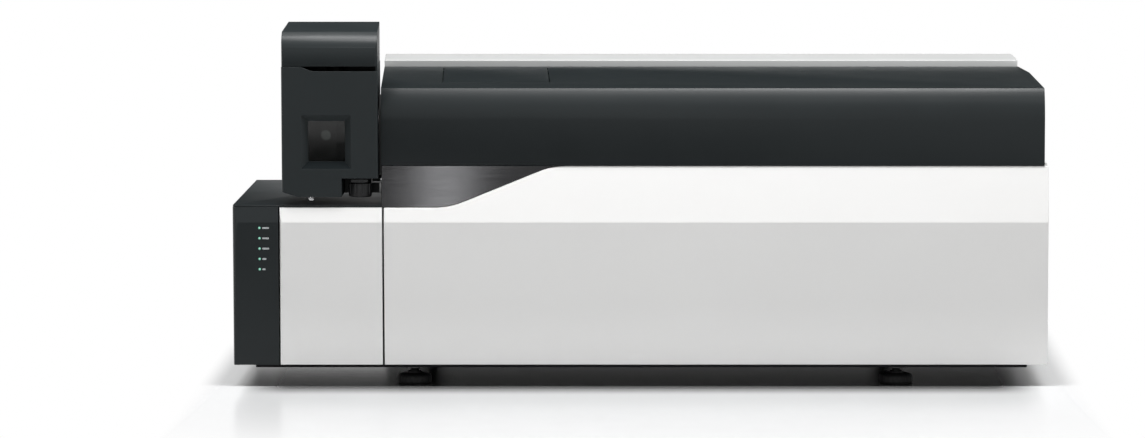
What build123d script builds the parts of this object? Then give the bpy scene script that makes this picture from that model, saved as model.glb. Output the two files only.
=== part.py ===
from build123d import *
import os
from math import cos, hypot, radians, sin, sqrt

# Bench-top triple-quadrupole mass spectrometer, millimetres, +Z up, front towards -Y,
# origin on the floor under the middle of the cabinet.

# ---------------------------------------------------------------- driving dimensions
# Ion optics, left to right along the ion axis, and the gaps between them. They set the width.
guide_inset = 29.0
guide_length = 100.0
guide_gap = 16.0
quad_length = 180.0
cell_gap = 14.0
cell_length = 120.0
detector_gap = 22.0
detector_length = 55.0
detector_inset = 33.0
manifold_length = (
    guide_inset + guide_length + guide_gap + 2 * quad_length + 2 * cell_gap + cell_length
    + detector_gap + detector_length + detector_inset
)
manifold_offset = 215.0  # from the left end to the manifold
right_margin = 122.0  # from the manifold to the right end

overall_width = manifold_offset + manifold_length + right_margin
overall_depth = 585.0
front_y = -overall_depth / 2
left_x = -overall_width / 2
right_x = overall_width / 2

panel = 3.0  # thickness of mouldings and folded sheet
seam = 0.6  # gap between neighbouring covers
seat = 0.3  # gap of a piece that rests on another body
run_fit = 0.06  # radial clearance of a pin in its bore

pan_z = 26.4
pan_thick = 3.2
pan_top = pan_z + pan_thick
pan_left_x = left_x + 30.0
pan_right_x = right_x - 28.0
pan_front = 2.8  # distance of the pan's front edge behind the front plane

# Front faces: lowest edge, crease and top lean back by these depths.
crease_z = 223.3
crease_foot_lean = 3.0
top_lean = 12.0
fascia_return = 28.0  # depth of the folded edge behind the front panels

deck_top = 246.0
deck_thick = 2.4
deck_under = deck_top - deck_thick
wing_depth = overall_depth - 203.5
door_left_x = left_x + 63.4
door_right_x = left_x + 201.5
door_top = deck_under - seam
door_swing_gap = 1.6
indicator_right_x = door_left_x - door_swing_gap
fascia_left_x = left_x + 204.1

cover_bottom = 299.4
step_low = door_top
step_high = cover_bottom - seam
step_low_x = left_x + 292.6
step_high_x = left_x + 432.1
step_low_radius = 105.0
step_high_radius = 95.0

cover_front = 11.0
brow_start = 360.5
crest_depth = 26.0
crest_z = 402.6
cover_depth = overall_depth - 132.2
cover_right_x = right_x - 5.0
cover_tail_x = right_x - 13.0
cover_tail_depth = cover_depth - 122.8

rear_cover_top = 412.1
rear_cover_right_x = right_x - 14.0
rear_face = overall_depth - panel  # outer face of the rear panel
rear_inner = rear_face - panel

end_front_x = left_x + 201.0  # left end of the cabinet at the front plane
end_rear_x = left_x + 172.1  # and at the back

# Ion axis: the line the ions travel along, left to right.
ion_depth = 76.0
ion_y = front_y + ion_depth
ion_z = 331.0

# Ion source
source_left_x = left_x + 67.0
source_right_x = left_x + 197.0
source_right_rear_x = left_x + 192.5
source_depth = 130.0
source_bottom = 257.8
source_seam = 433.2
source_chamfer_x = 21.6
source_chamfer_z = 6.7
notch_left_x = left_x + 147.7
notch_top = 282.8
notch_depth = 62.0

swing_x = left_x + 187.5
swing_depth = 138.0
swing_y = front_y + swing_depth

lid_crest_depth = 18.0
lid_crest_z = 479.8
lid_brow_start = 452.0
lid_rear_z = 486.4

# Hatch in the upper cover
hatch_front = 138.3
hatch_back = cover_depth - 29.0
hatch_left_front_x = left_x + 278.0
hatch_left_back_x = left_x + 265.7
hatch_right_front_x = left_x + 423.9
hatch_right_back_x = left_x + 412.4
hatch_gap = 1.2

os.makedirs("parts", exist_ok=True)


def at_depth(depth):
    """World Y of a plane this far behind the front."""
    return front_y + depth


def end_x(depth):
    """World X of the cabinet's slanted left end at this depth."""
    return end_front_x + (end_rear_x - end_front_x) * depth / overall_depth


def front_plane(depth):
    """Plane facing the front, local axes X and Z, extruding backwards with a minus sign."""
    return Plane((0, at_depth(depth), 0), x_dir=(1, 0, 0), z_dir=(0, -1, 0))


def fascia_points(shift, back):
    """Side outline (Y, Z) of the creased front faces, moved back by shift, closed at back."""
    return (
        (at_depth(crease_foot_lean + shift), pan_top),
        (at_depth(shift), crease_z),
        (at_depth(top_lean + shift), step_high),
        (at_depth(back), step_high),
        (at_depth(back), pan_top),
    )


def brow_points(inset):
    """Ends of the arc of the upper cover's brow, and its centre, for a skin moved in by inset."""
    centre_depth = cover_front + brow_radius
    top = crest_z - inset
    radius = brow_radius - inset
    end_depth = centre_depth - sqrt(radius**2 - (top - brow_start) ** 2)
    return (at_depth(cover_front + inset), brow_start), (at_depth(end_depth), top)


def lid_points(inset):
    """Ends of the arc of the source lid's brow for a skin moved in by inset."""
    top = lid_crest_z - inset
    radius = lid_radius - inset
    end_depth = lid_radius - sqrt(radius**2 - (top - lid_brow_start) ** 2)
    return (at_depth(inset), lid_brow_start), (at_depth(end_depth), top)


brow_run = crest_depth - cover_front
brow_rise = crest_z - brow_start
brow_radius = (brow_run**2 + brow_rise**2) / (2 * brow_run)
lid_rise = lid_crest_z - lid_brow_start
lid_radius = (lid_crest_depth**2 + lid_rise**2) / (2 * lid_crest_depth)

end_slope = (end_rear_x - end_front_x) / overall_depth
end_stretch = hypot(1.0, end_slope)
end_plane = Plane(
    (end_front_x, front_y, 0),
    x_dir=(end_slope, 1, 0),
    z_dir=(1, -end_slope, 0),
)

NONE2 = (Align.NONE, Align.NONE)

# ---------------------------------------------------------------- base pan and feet
foot_left_x = left_x + 242.0
foot_right_x = right_x - 203.0
foot_front_depth = 50.0
foot_back_depth = rear_inner - 44.0
foot_places = (
    ("foot_front_left", foot_left_x, foot_front_depth),
    ("foot_front_right", foot_right_x, foot_front_depth),
    ("foot_back_left", foot_left_x, foot_back_depth),
    ("foot_back_right", foot_right_x, foot_back_depth),
)
foot_spots = [(x, at_depth(depth)) for _, x, depth in foot_places]
foot_pad_radius = 23.0
foot_pad_height = 13.0
foot_neck_radius = 9.2
foot_stud_radius = 6.0
foot_stud_top = 52.0
lock_nut_flats = 19.0
lock_nut_height = 6.0
boss_radius = 12.0
boss_height = 24.0

# Hinge pins of the service door, one in the pan and one in the deck.
door_pin_x = door_left_x + 5.0
door_pin_depth = 6.0
door_pin_radius = 2.0
door_corner = 4.5

for name, x, depth in foot_places:
    with BuildPart() as foot:
        with BuildSketch(Plane.XY):
            with Locations((x, at_depth(depth))):
                Circle(foot_pad_radius)
        extrude(amount=foot_pad_height)
        rim = foot.edges().group_by(Axis.Z)[-1]
        fillet(rim, foot_pad_height * 0.45)
        with BuildSketch(Plane.XY.offset(foot_pad_height - panel)):
            with Locations((x, at_depth(depth))):
                Circle(foot_neck_radius)
        extrude(amount=panel * 2)
        with BuildSketch(Plane.XY.offset(foot_pad_height)):
            with Locations((x, at_depth(depth))):
                Circle(foot_stud_radius)
        extrude(amount=foot_stud_top - foot_pad_height)
        chamfer(foot.edges().group_by(Axis.Z)[-1], 1.0)
    foot.part.label = name
    export_step(foot.part, f"parts/{name}.step")

with BuildPart() as lock_nuts:
    with BuildSketch(Plane.XY.offset(pan_z - lock_nut_height)):
        with Locations(*foot_spots):
            RegularPolygon(lock_nut_flats / 2, 6, major_radius=False)
            Circle(foot_stud_radius + run_fit, mode=Mode.SUBTRACT)
    extrude(amount=lock_nut_height)
lock_nuts.part.label = "foot_lock_nuts"
export_step(lock_nuts.part, "parts/foot_lock_nuts.step")

with BuildPart() as base_pan:
    with BuildSketch(Plane.XY.offset(pan_z)):
        Polygon(
            (pan_left_x, at_depth(pan_front)),
            (pan_right_x, at_depth(pan_front)),
            (pan_right_x, at_depth(rear_inner)),
            (end_x(rear_inner) + panel / 2, at_depth(rear_inner)),
            (end_x(wing_depth) + panel / 2, at_depth(wing_depth - panel)),
            (pan_left_x, at_depth(wing_depth - panel)),
            align=NONE2,
        )
    extrude(amount=pan_thick)
    with BuildSketch(Plane.XY.offset(pan_top)):
        with Locations(*foot_spots):
            Circle(boss_radius)
    extrude(amount=boss_height)
    with BuildSketch(Plane.XY.offset(pan_z)):
        with Locations(*foot_spots):
            Circle(foot_stud_radius + run_fit)
        with Locations((door_pin_x, at_depth(door_pin_depth))):
            Circle(door_pin_radius + run_fit)
    extrude(amount=boss_height + pan_thick, mode=Mode.SUBTRACT)
base_pan.part.label = "base_pan"
export_step(base_pan.part, "parts/base_pan.step")

# ---------------------------------------------------------------- inner chassis
bulkhead_thick = 3.0
bulkhead_left_x = fascia_left_x
bulkhead_right_x = right_x - 45.0
shelf_bottom = 256.0
shelf_thick = 4.0
shelf_top = shelf_bottom + shelf_thick
shelf_back = rear_inner - 34.0
chassis_flange = 20.0
turbo_x = (left_x + 430.0, left_x + 740.0)
manifold_front = 34.0
manifold_back = 194.0
manifold_mid_depth = (manifold_front + manifold_back) / 2
turbo_flange_radius = 70.0
turbo_spots = [(x, at_depth(manifold_mid_depth)) for x in turbo_x]
chassis_width = bulkhead_right_x + bulkhead_thick - bulkhead_left_x
chassis_mid_x = bulkhead_left_x + chassis_width / 2

with BuildPart() as chassis:
    with BuildSketch(Plane.XY.offset(pan_top)):
        for x, run in ((bulkhead_left_x, 1), (bulkhead_right_x + bulkhead_thick, -1)):
            Polygon(
                (x, at_depth(fascia_return)),
                (x + run * chassis_flange, at_depth(fascia_return)),
                (x + run * chassis_flange, at_depth(fascia_return + bulkhead_thick)),
                (x + run * bulkhead_thick, at_depth(fascia_return + bulkhead_thick)),
                (x + run * bulkhead_thick, at_depth(rear_inner - bulkhead_thick)),
                (x + run * chassis_flange, at_depth(rear_inner - bulkhead_thick)),
                (x + run * chassis_flange, at_depth(rear_inner)),
                (x, at_depth(rear_inner)),
                align=NONE2,
            )
    extrude(amount=shelf_bottom - pan_top)
    with BuildSketch(Plane.XY.offset(shelf_bottom)):
        with Locations((chassis_mid_x, at_depth((fascia_return + shelf_back) / 2))):
            Rectangle(chassis_width, shelf_back - fascia_return)
        with Locations(*turbo_spots):
            Circle(turbo_flange_radius + 2, mode=Mode.SUBTRACT)
    extrude(amount=shelf_thick)
chassis.part.label = "chassis"
export_step(chassis.part, "parts/chassis.step")

# ---------------------------------------------------------------- white front panel
with BuildPart() as front_panel:
    with BuildSketch(front_plane(0)) as step_outline:
        Polygon(
            (fascia_left_x, pan_top),
            (fascia_left_x, step_low),
            (step_low_x, step_low),
            (step_high_x, step_high),
            (right_x, step_high),
            (right_x, pan_top),
            align=NONE2,
        )
        low_corner = step_outline.vertices().sort_by_distance((step_low_x, step_low))[0]
        fillet(low_corner, step_low_radius)
        high_corner = step_outline.vertices().sort_by_distance((step_high_x, step_high))[0]
        fillet(high_corner, step_high_radius)
    extrude(amount=-fascia_return)
    with BuildSketch(Plane.YZ.offset(fascia_left_x)):
        Polygon(*fascia_points(0, fascia_return), align=NONE2)
    extrude(amount=right_x - fascia_left_x, mode=Mode.INTERSECT)
    with BuildSketch(front_plane(0)):
        add(offset(step_outline.sketch, amount=-panel, mode=Mode.PRIVATE))
    pocket = extrude(amount=-fascia_return, mode=Mode.PRIVATE)
    with BuildSketch(Plane.YZ.offset(fascia_left_x)):
        Polygon(*fascia_points(panel, fascia_return), align=NONE2)
    leaned = extrude(amount=right_x - fascia_left_x, mode=Mode.PRIVATE)
    add(pocket & leaned, mode=Mode.SUBTRACT)
front_panel.part.label = "front_panel"
export_step(front_panel.part, "parts/front_panel.step")

# ---------------------------------------------------------------- bare name plate
plate_thick = 2.0

with BuildPart() as name_plate:
    with BuildSketch(front_plane(0)) as plate_outline:
        Polygon(
            (end_front_x, step_low + seam),
            (end_front_x, step_high),
            (step_high_x, step_high),
            (step_low_x, step_low + seam),
            align=NONE2,
        )
        add(offset(step_outline.sketch, amount=seam, mode=Mode.PRIVATE), mode=Mode.SUBTRACT)
    extrude(amount=-fascia_return)
    with BuildSketch(Plane.YZ.offset(end_front_x)):
        Polygon(
            (at_depth(0), crease_z),
            (at_depth(top_lean), step_high),
            (at_depth(top_lean + plate_thick), step_high),
            (at_depth(plate_thick), crease_z),
            align=NONE2,
        )
    extrude(amount=step_high_x - end_front_x + fascia_return, mode=Mode.INTERSECT)
name_plate.part.label = "name_plate"
export_step(name_plate.part, "parts/name_plate.step")

# ---------------------------------------------------------------- lower-left wing
indicator_count = 5
indicator_x = left_x + 36.4
indicator_top_z = 215.8
indicator_pitch = 14.0
indicator_radius = 2.15
indicator_length = 8.0
indicator_zs = [indicator_top_z - i * indicator_pitch for i in range(indicator_count)]
indicator_mid_z = indicator_zs[indicator_count // 2]
wing_return = 22.0
wing_corner = 8.0
wing_inner_right_x = bulkhead_left_x
wing_bottom = pan_top

with BuildPart() as corner_cover:
    with BuildSketch(Plane.XY.offset(wing_bottom)) as wing_plan:
        Polygon(
            (left_x, at_depth(0)),
            (indicator_right_x, at_depth(0)),
            (indicator_right_x, at_depth(wing_return)),
            (indicator_right_x - panel, at_depth(wing_return)),
            (indicator_right_x - panel, at_depth(wing_depth - panel)),
            (wing_inner_right_x, at_depth(wing_depth - panel)),
            (wing_inner_right_x, at_depth(wing_depth)),
            (left_x, at_depth(wing_depth)),
            align=NONE2,
        )
        fillet(wing_plan.vertices().sort_by_distance((left_x, front_y))[0], wing_corner)
    extrude(amount=deck_under - wing_bottom)
    with BuildSketch(Plane.YZ.offset(left_x)):
        Polygon(*fascia_points(0, overall_depth), align=NONE2)
    extrude(amount=wing_inner_right_x - left_x, mode=Mode.INTERSECT)
    with BuildSketch(Plane.XY.offset(wing_bottom)):
        Polygon(
            (left_x + panel, at_depth(0)),
            (indicator_right_x - panel, at_depth(0)),
            (indicator_right_x - panel, at_depth(wing_depth - panel)),
            (left_x + panel, at_depth(wing_depth - panel)),
            align=NONE2,
        )
    hollow_plan = extrude(amount=deck_under - wing_bottom, mode=Mode.PRIVATE)
    with BuildSketch(Plane.YZ.offset(left_x)):
        Polygon(*fascia_points(panel, overall_depth), align=NONE2)
    hollow_side = extrude(amount=wing_inner_right_x - left_x, mode=Mode.PRIVATE)
    add(hollow_plan & hollow_side, mode=Mode.SUBTRACT)
    with BuildSketch(front_plane(0)):
        with Locations(*[(indicator_x, z) for z in indicator_zs]):
            Circle(indicator_radius + run_fit)
    extrude(amount=-panel * 3, mode=Mode.SUBTRACT)
corner_cover.part.label = "corner_cover"
export_step(corner_cover.part, "parts/corner_cover.step")

deck_front = 3.8

with BuildPart() as source_deck:
    with BuildSketch(Plane.XY.offset(deck_under)) as deck_plan:
        Polygon(
            (left_x, at_depth(deck_front)),
            (end_front_x - seam, at_depth(deck_front)),
            (end_front_x - seam, at_depth(cover_front + panel + seat)),
            (end_x(cover_front) + panel, at_depth(cover_front + panel + seat)),
            (end_x(wing_depth) + panel, at_depth(wing_depth)),
            (left_x, at_depth(wing_depth)),
            align=NONE2,
        )
        fillet(deck_plan.vertices().sort_by_distance((left_x, front_y))[0], wing_corner)
        with Locations((door_pin_x, at_depth(door_pin_depth))):
            Circle(door_pin_radius + run_fit, mode=Mode.SUBTRACT)
    extrude(amount=deck_thick)
source_deck.part.label = "source_deck"
export_step(source_deck.part, "parts/source_deck.step")

indicator_board_depth = indicator_length
indicator_board_thick = 1.6
indicator_board_width = 24.0
indicator_board_margin = 12.0
indicator_board_height = indicator_pitch * (indicator_count - 1) + 2 * indicator_board_margin
post_radius = 3.0

with BuildPart() as indicator_lights:
    with BuildSketch(front_plane(0)):
        with Locations(*[(indicator_x, z) for z in indicator_zs]):
            Circle(indicator_radius)
    extrude(amount=-indicator_length)
    with BuildSketch(Plane.YZ.offset(left_x)):
        Polygon(
            (at_depth(indicator_length), pan_top),
            (at_depth(crease_foot_lean + seat), pan_top),
            (at_depth(seat), crease_z),
            (at_depth(indicator_length), crease_z),
            align=NONE2,
        )
    extrude(amount=-left_x, mode=Mode.INTERSECT)
indicator_lights.part.label = "indicator_lights"
export_step(indicator_lights.part, "parts/indicator_lights.step")

with BuildPart() as indicator_board:
    with BuildSketch(front_plane(indicator_board_depth)):
        with Locations((indicator_x, indicator_mid_z)):
            Rectangle(indicator_board_width, indicator_board_height)
    extrude(amount=-indicator_board_thick)
    with BuildSketch(front_plane(indicator_board_depth)):
        with Locations((indicator_x, indicator_mid_z)):
            with GridLocations(indicator_board_width - 8, indicator_board_height - 8, 1, 2):
                Circle(post_radius)
    extrude(amount=indicator_board_depth - panel - crease_foot_lean / 2)
indicator_board.part.label = "indicator_board"
export_step(indicator_board.part, "parts/indicator_board.step")

# ---------------------------------------------------------------- left end wall
flange_radius = 47.0
flange_hole = flange_radius + 1.5
wall_inner_top = crest_z - panel
wall_front = cover_front + panel + seat

with BuildPart() as left_wall:
    with BuildSketch(end_plane) as wall_outline:
        with BuildLine():
            arc_start = (end_stretch * wall_front, brow_start)
            arc_end_y, arc_end_z = brow_points(panel + seat)[1]
            arc_end = (end_stretch * (arc_end_y - front_y), arc_end_z)
            Polyline(
                arc_start,
                (arc_start[0], deck_top),
                (end_stretch * (wing_depth + seat), deck_top),
                (end_stretch * (wing_depth + seat), pan_top),
                (end_stretch * (rear_inner - seat), pan_top),
                (end_stretch * (rear_inner - seat), step_high),
                (end_stretch * (cover_depth - seam), step_high),
                (end_stretch * (cover_depth - seam), arc_end_z),
                arc_end,
            )
            TangentArc(arc_start, arc_end, tangent=(0, 1))
        make_face()
        with Locations((end_stretch * ion_depth, ion_z)):
            Circle(flange_hole, mode=Mode.SUBTRACT)
    extrude(amount=panel)
left_wall.part.label = "left_wall"
export_step(left_wall.part, "parts/left_wall.step")

# ---------------------------------------------------------------- dark upper cover
hatch_knuckle_radius = 3.0
hatch_pin_radius = 1.5
hatch_pin_depth = hatch_back - 4.6
hatch_pin_z = crest_z - panel - 1.8
hatch_corner = 2.8
hatch_knuckle_length = 14.0
hatch_lug_length = 7.0
hatch_lug_radius = 4.6
hatch_pin_gap = hatch_gap + seat
hatch_lip = 5.0
hatch_lip_drop = 0.3


def hatch_outline(grow):
    """Plan corners of the hatch, grown sideways and to the front and back."""
    return (
        (hatch_left_front_x - grow, at_depth(hatch_front - grow)),
        (hatch_left_back_x - grow, at_depth(hatch_back + grow)),
        (hatch_right_back_x + grow, at_depth(hatch_back + grow)),
        (hatch_right_front_x + grow, at_depth(hatch_front - grow)),
    )


hatch_knuckles = (
    (hatch_left_back_x + seat, 1),
    (hatch_right_back_x - seat, -1),
)

with BuildPart() as upper_cover:
    with BuildSketch(Plane.YZ.offset(end_rear_x)) as skin_outer:
        with BuildLine():
            outer_start, outer_end = brow_points(0)
            Polyline(
                outer_start,
                (at_depth(cover_front), cover_bottom),
                (at_depth(cover_depth - seam), cover_bottom),
                (at_depth(cover_depth - seam), crest_z),
                outer_end,
            )
            TangentArc(outer_start, outer_end, tangent=(0, 1))
        make_face()
    extrude(amount=cover_right_x - end_rear_x)
    with BuildSketch(Plane.XY.offset(cover_bottom)):
        Polygon(
            (end_front_x, front_y),
            (end_x(cover_depth), at_depth(cover_depth)),
            (cover_tail_x, at_depth(cover_depth)),
            (cover_right_x, at_depth(cover_tail_depth)),
            (cover_right_x, front_y),
            align=NONE2,
        )
    extrude(amount=crest_z - cover_bottom, mode=Mode.INTERSECT)
    with BuildSketch(Plane.YZ.offset(end_rear_x - panel)) as skin_inner:
        with BuildLine():
            inner_start, inner_end = brow_points(panel)
            Polyline(
                inner_start,
                (at_depth(cover_front + panel), cover_bottom),
                (at_depth(cover_depth), cover_bottom),
                (at_depth(cover_depth), crest_z - panel),
                inner_end,
            )
            TangentArc(inner_start, inner_end, tangent=(0, 1))
        make_face()
    inner_side = extrude(amount=cover_right_x - end_rear_x + panel, mode=Mode.PRIVATE)
    with BuildSketch(Plane.XY.offset(cover_bottom)):
        Polygon(
            (end_rear_x - panel, front_y),
            (end_rear_x - panel, at_depth(cover_depth)),
            (cover_tail_x - panel, at_depth(cover_depth)),
            (cover_right_x - panel, at_depth(cover_tail_depth)),
            (cover_right_x - panel, front_y),
            align=NONE2,
        )
    inner_plan = extrude(amount=crest_z - cover_bottom, mode=Mode.PRIVATE)
    add(inner_side & inner_plan, mode=Mode.SUBTRACT)
    with BuildSketch(Plane.XY.offset(crest_z - panel)):
        Polygon(*hatch_outline(hatch_gap), align=NONE2)
    extrude(amount=panel, mode=Mode.SUBTRACT)
    with BuildSketch(Plane.XY.offset(crest_z - 2 * panel)):
        Polygon(
            (hatch_left_front_x - hatch_lip, at_depth(hatch_front - hatch_lip)),
            (hatch_right_front_x + hatch_lip, at_depth(hatch_front - hatch_lip)),
            (hatch_right_front_x + hatch_lip, at_depth(hatch_front + hatch_lip)),
            (hatch_left_front_x - hatch_lip, at_depth(hatch_front + hatch_lip)),
            align=NONE2,
        )
    extrude(amount=panel - hatch_lip_drop)
    with BuildSketch(Plane.XY.offset(crest_z - panel - hatch_lip_drop)):
        Polygon(
            (hatch_left_front_x - hatch_lip, at_depth(hatch_front - hatch_lip)),
            (hatch_right_front_x + hatch_lip, at_depth(hatch_front - hatch_lip)),
            (hatch_right_front_x + hatch_lip, at_depth(hatch_front - hatch_gap)),
            (hatch_left_front_x - hatch_lip, at_depth(hatch_front - hatch_gap)),
            align=NONE2,
        )
    extrude(amount=hatch_lip_drop)
    for x, run in hatch_knuckles:
        with BuildSketch(Plane.YZ.offset(x - run * hatch_pin_gap)):
            with Locations((at_depth(hatch_pin_depth), hatch_pin_z)):
                Circle(hatch_lug_radius)
            with Locations((at_depth(hatch_pin_depth), crest_z - panel + hatch_lug_radius)):
                Rectangle(3 * hatch_lug_radius, 2 * hatch_lug_radius, mode=Mode.SUBTRACT)
        extrude(amount=-run * hatch_lug_length)
        with BuildSketch(Plane.YZ.offset(x - run * hatch_pin_gap)):
            with Locations((at_depth(hatch_pin_depth), hatch_pin_z)):
                Circle(hatch_pin_radius)
        extrude(amount=run * (hatch_knuckle_length + hatch_pin_gap))
upper_cover.part.label = "upper_cover"
export_step(upper_cover.part, "parts/upper_cover.step")

# ---------------------------------------------------------------- hatch lid
with BuildPart() as hatch_lid:
    with BuildSketch(Plane.XY.offset(crest_z - panel)):
        Polygon(*hatch_outline(0), align=NONE2)
    extrude(amount=panel)
    back_edge = hatch_lid.edges().group_by(Axis.Y)[-1].sort_by(Axis.Z)[-1]
    fillet(back_edge, hatch_corner)
    for x, run in hatch_knuckles:
        with BuildSketch(Plane.YZ.offset(x)):
            with Locations((at_depth(hatch_pin_depth), hatch_pin_z)):
                Circle(hatch_knuckle_radius)
        extrude(amount=run * hatch_knuckle_length)
    for x, run in hatch_knuckles:
        with BuildSketch(Plane.YZ.offset(x)):
            with Locations((at_depth(hatch_pin_depth), hatch_pin_z)):
                Circle(hatch_pin_radius + run_fit)
        extrude(amount=run * (hatch_knuckle_length + 1), mode=Mode.SUBTRACT)
hatch_lid.part.label = "hatch_lid"
export_step(hatch_lid.part, "parts/hatch_lid.step")

# ---------------------------------------------------------------- light rear top cover
rear_skirt_z = 380.0
rear_front_skirt_z = 392.0

with BuildPart() as rear_cover:
    with BuildSketch(Plane.XY.offset(cover_bottom)) as rear_plan:
        Polygon(
            (end_x(cover_depth), at_depth(cover_depth)),
            (end_x(overall_depth), at_depth(overall_depth)),
            (rear_cover_right_x, at_depth(overall_depth)),
            (rear_cover_right_x, at_depth(cover_depth)),
            align=NONE2,
        )
    extrude(amount=rear_cover_top - cover_bottom)
    top_rim = rear_cover.edges().group_by(Axis.Z)[-1]
    fillet(top_rim, 1.5)
    with BuildSketch(Plane.XY.offset(cover_bottom)):
        add(offset(rear_plan.sketch, amount=-panel, mode=Mode.PRIVATE))
    extrude(amount=rear_cover_top - cover_bottom - panel, mode=Mode.SUBTRACT)
    with BuildSketch(front_plane(cover_depth)):
        Polygon(
            (end_rear_x, cover_bottom),
            (end_rear_x, rear_front_skirt_z),
            (rear_cover_right_x - panel, rear_front_skirt_z),
            (rear_cover_right_x - panel, cover_bottom),
            align=NONE2,
        )
    extrude(amount=-panel, mode=Mode.SUBTRACT)
    with BuildSketch(front_plane(rear_face)):
        Polygon(
            (end_rear_x, cover_bottom),
            (end_rear_x, rear_skirt_z),
            (rear_cover_right_x, rear_skirt_z),
            (rear_cover_right_x, cover_bottom),
            align=NONE2,
        )
    extrude(amount=-(overall_depth - rear_face), mode=Mode.SUBTRACT)
rear_cover.part.label = "rear_cover"
export_step(rear_cover.part, "parts/rear_cover.step")

# ---------------------------------------------------------------- right side panel
side_lip = 14.0
side_foot_lip = 38.0
louvre_count = 12
louvre_pitch = 14.0
louvre_height = 5.0
louvre_length = 120.0
louvre_mid_depth = 420.0
louvre_mid_z = 150.0

with BuildPart() as right_panel:
    with BuildSketch(front_plane(fascia_return)):
        Polygon(
            (right_x, pan_top),
            (right_x, step_high),
            (right_x - side_lip, step_high),
            (right_x - side_lip, step_high - panel),
            (right_x - panel, step_high - panel),
            (right_x - panel, pan_top + panel),
            (right_x - side_foot_lip, pan_top + panel),
            (right_x - side_foot_lip, pan_top),
            align=NONE2,
        )
    extrude(amount=-(rear_face - fascia_return))
    with BuildSketch(Plane.YZ.offset(right_x - panel)):
        with Locations((at_depth(louvre_mid_depth), louvre_mid_z)):
            with GridLocations(louvre_length, louvre_pitch, 1, louvre_count):
                SlotOverall(louvre_length, louvre_height)
    extrude(amount=panel, mode=Mode.SUBTRACT)
right_panel.part.label = "right_panel"
export_step(right_panel.part, "parts/right_panel.step")

# ---------------------------------------------------------------- rear panel
fan_size = 120.0
fan_thick = 25.0
fan_ring_radius = 57.0
fan_z = 165.0
fan_xs = (right_x - 380.0, right_x - 240.0)
fan_screw_pitch = 105.0
fan_spots = [(x, fan_z) for x in fan_xs]
port_left_x = left_x + 230.0
port_right_x = left_x + 360.0
port_bottom = 180.0
port_top = 250.0
port_recess = 18.0
port_wall = 2.0
port_mid_x = (port_left_x + port_right_x) / 2
port_mid_z = (port_bottom + port_top) / 2
foreline_x = left_x + 430.0
foreline_z = 105.0
foreline_flange_radius = 20.0
inlet_x = right_x - 100.0
inlet_z = 85.0
inlet_width = 48.0
inlet_height = 28.0
switch_z = 130.0
switch_width = 30.0
switch_height = 22.0
data_x = left_x + 530.0
data_z = 95.0
data_width = 90.0
data_height = 24.0
gas_port_pitch = 36.0
gas_port_count = 3
gas_port_radius = 7.0
gas_spots = [
    (port_mid_x + (i - (gas_port_count - 1) / 2) * gas_port_pitch, port_mid_z)
    for i in range(gas_port_count)
]

with BuildPart() as rear_panel:
    with BuildSketch(front_plane(rear_inner)):
        Polygon(
            (end_x(rear_inner), pan_top),
            (end_x(rear_inner), step_high),
            (end_x(rear_inner) + panel + seam, step_high),
            (end_x(rear_inner) + panel + seam, rear_cover_top - panel - seat),
            (rear_cover_right_x - panel - seat, rear_cover_top - panel - seat),
            (rear_cover_right_x - panel - seat, step_high - panel - seat),
            (right_x - panel - seat, step_high - panel - seat),
            (right_x - panel - seat, pan_top + panel + seat),
            (pan_right_x - side_foot_lip, pan_top + panel + seat),
            (pan_right_x - side_foot_lip, pan_top),
            align=NONE2,
        )
        with Locations(*fan_spots):
            Circle(fan_ring_radius, mode=Mode.SUBTRACT)
        with Locations((port_mid_x, port_mid_z)):
            Rectangle(port_right_x - port_left_x, port_top - port_bottom, mode=Mode.SUBTRACT)
        with Locations((foreline_x, foreline_z)):
            Circle(foreline_flange_radius + 2, mode=Mode.SUBTRACT)
        with Locations((inlet_x, inlet_z)):
            Rectangle(inlet_width, inlet_height, mode=Mode.SUBTRACT)
        with Locations((inlet_x, switch_z)):
            Rectangle(switch_width, switch_height, mode=Mode.SUBTRACT)
        with Locations((data_x, data_z)):
            Rectangle(data_width, data_height, mode=Mode.SUBTRACT)
    extrude(amount=-panel)
    with BuildSketch(front_plane(rear_face)):
        with Locations((port_mid_x, port_mid_z)):
            Rectangle(port_right_x - port_left_x, port_top - port_bottom)
    extrude(amount=port_recess + port_wall)
    with BuildSketch(front_plane(rear_face)):
        with Locations((port_mid_x, port_mid_z)):
            Rectangle(
                port_right_x - port_left_x - 2 * port_wall,
                port_top - port_bottom - 2 * port_wall,
            )
    extrude(amount=port_recess, mode=Mode.SUBTRACT)
    with BuildSketch(front_plane(rear_face - port_recess)):
        with Locations(*gas_spots):
            Circle(gas_port_radius)
    extrude(amount=port_wall, mode=Mode.SUBTRACT)
rear_panel.part.label = "rear_panel"
export_step(rear_panel.part, "parts/rear_panel.step")

# ---------------------------------------------------------------- service door
door_return = 16.0
door_bottom = pan_top + seat
catch_z = 150.0

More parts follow.
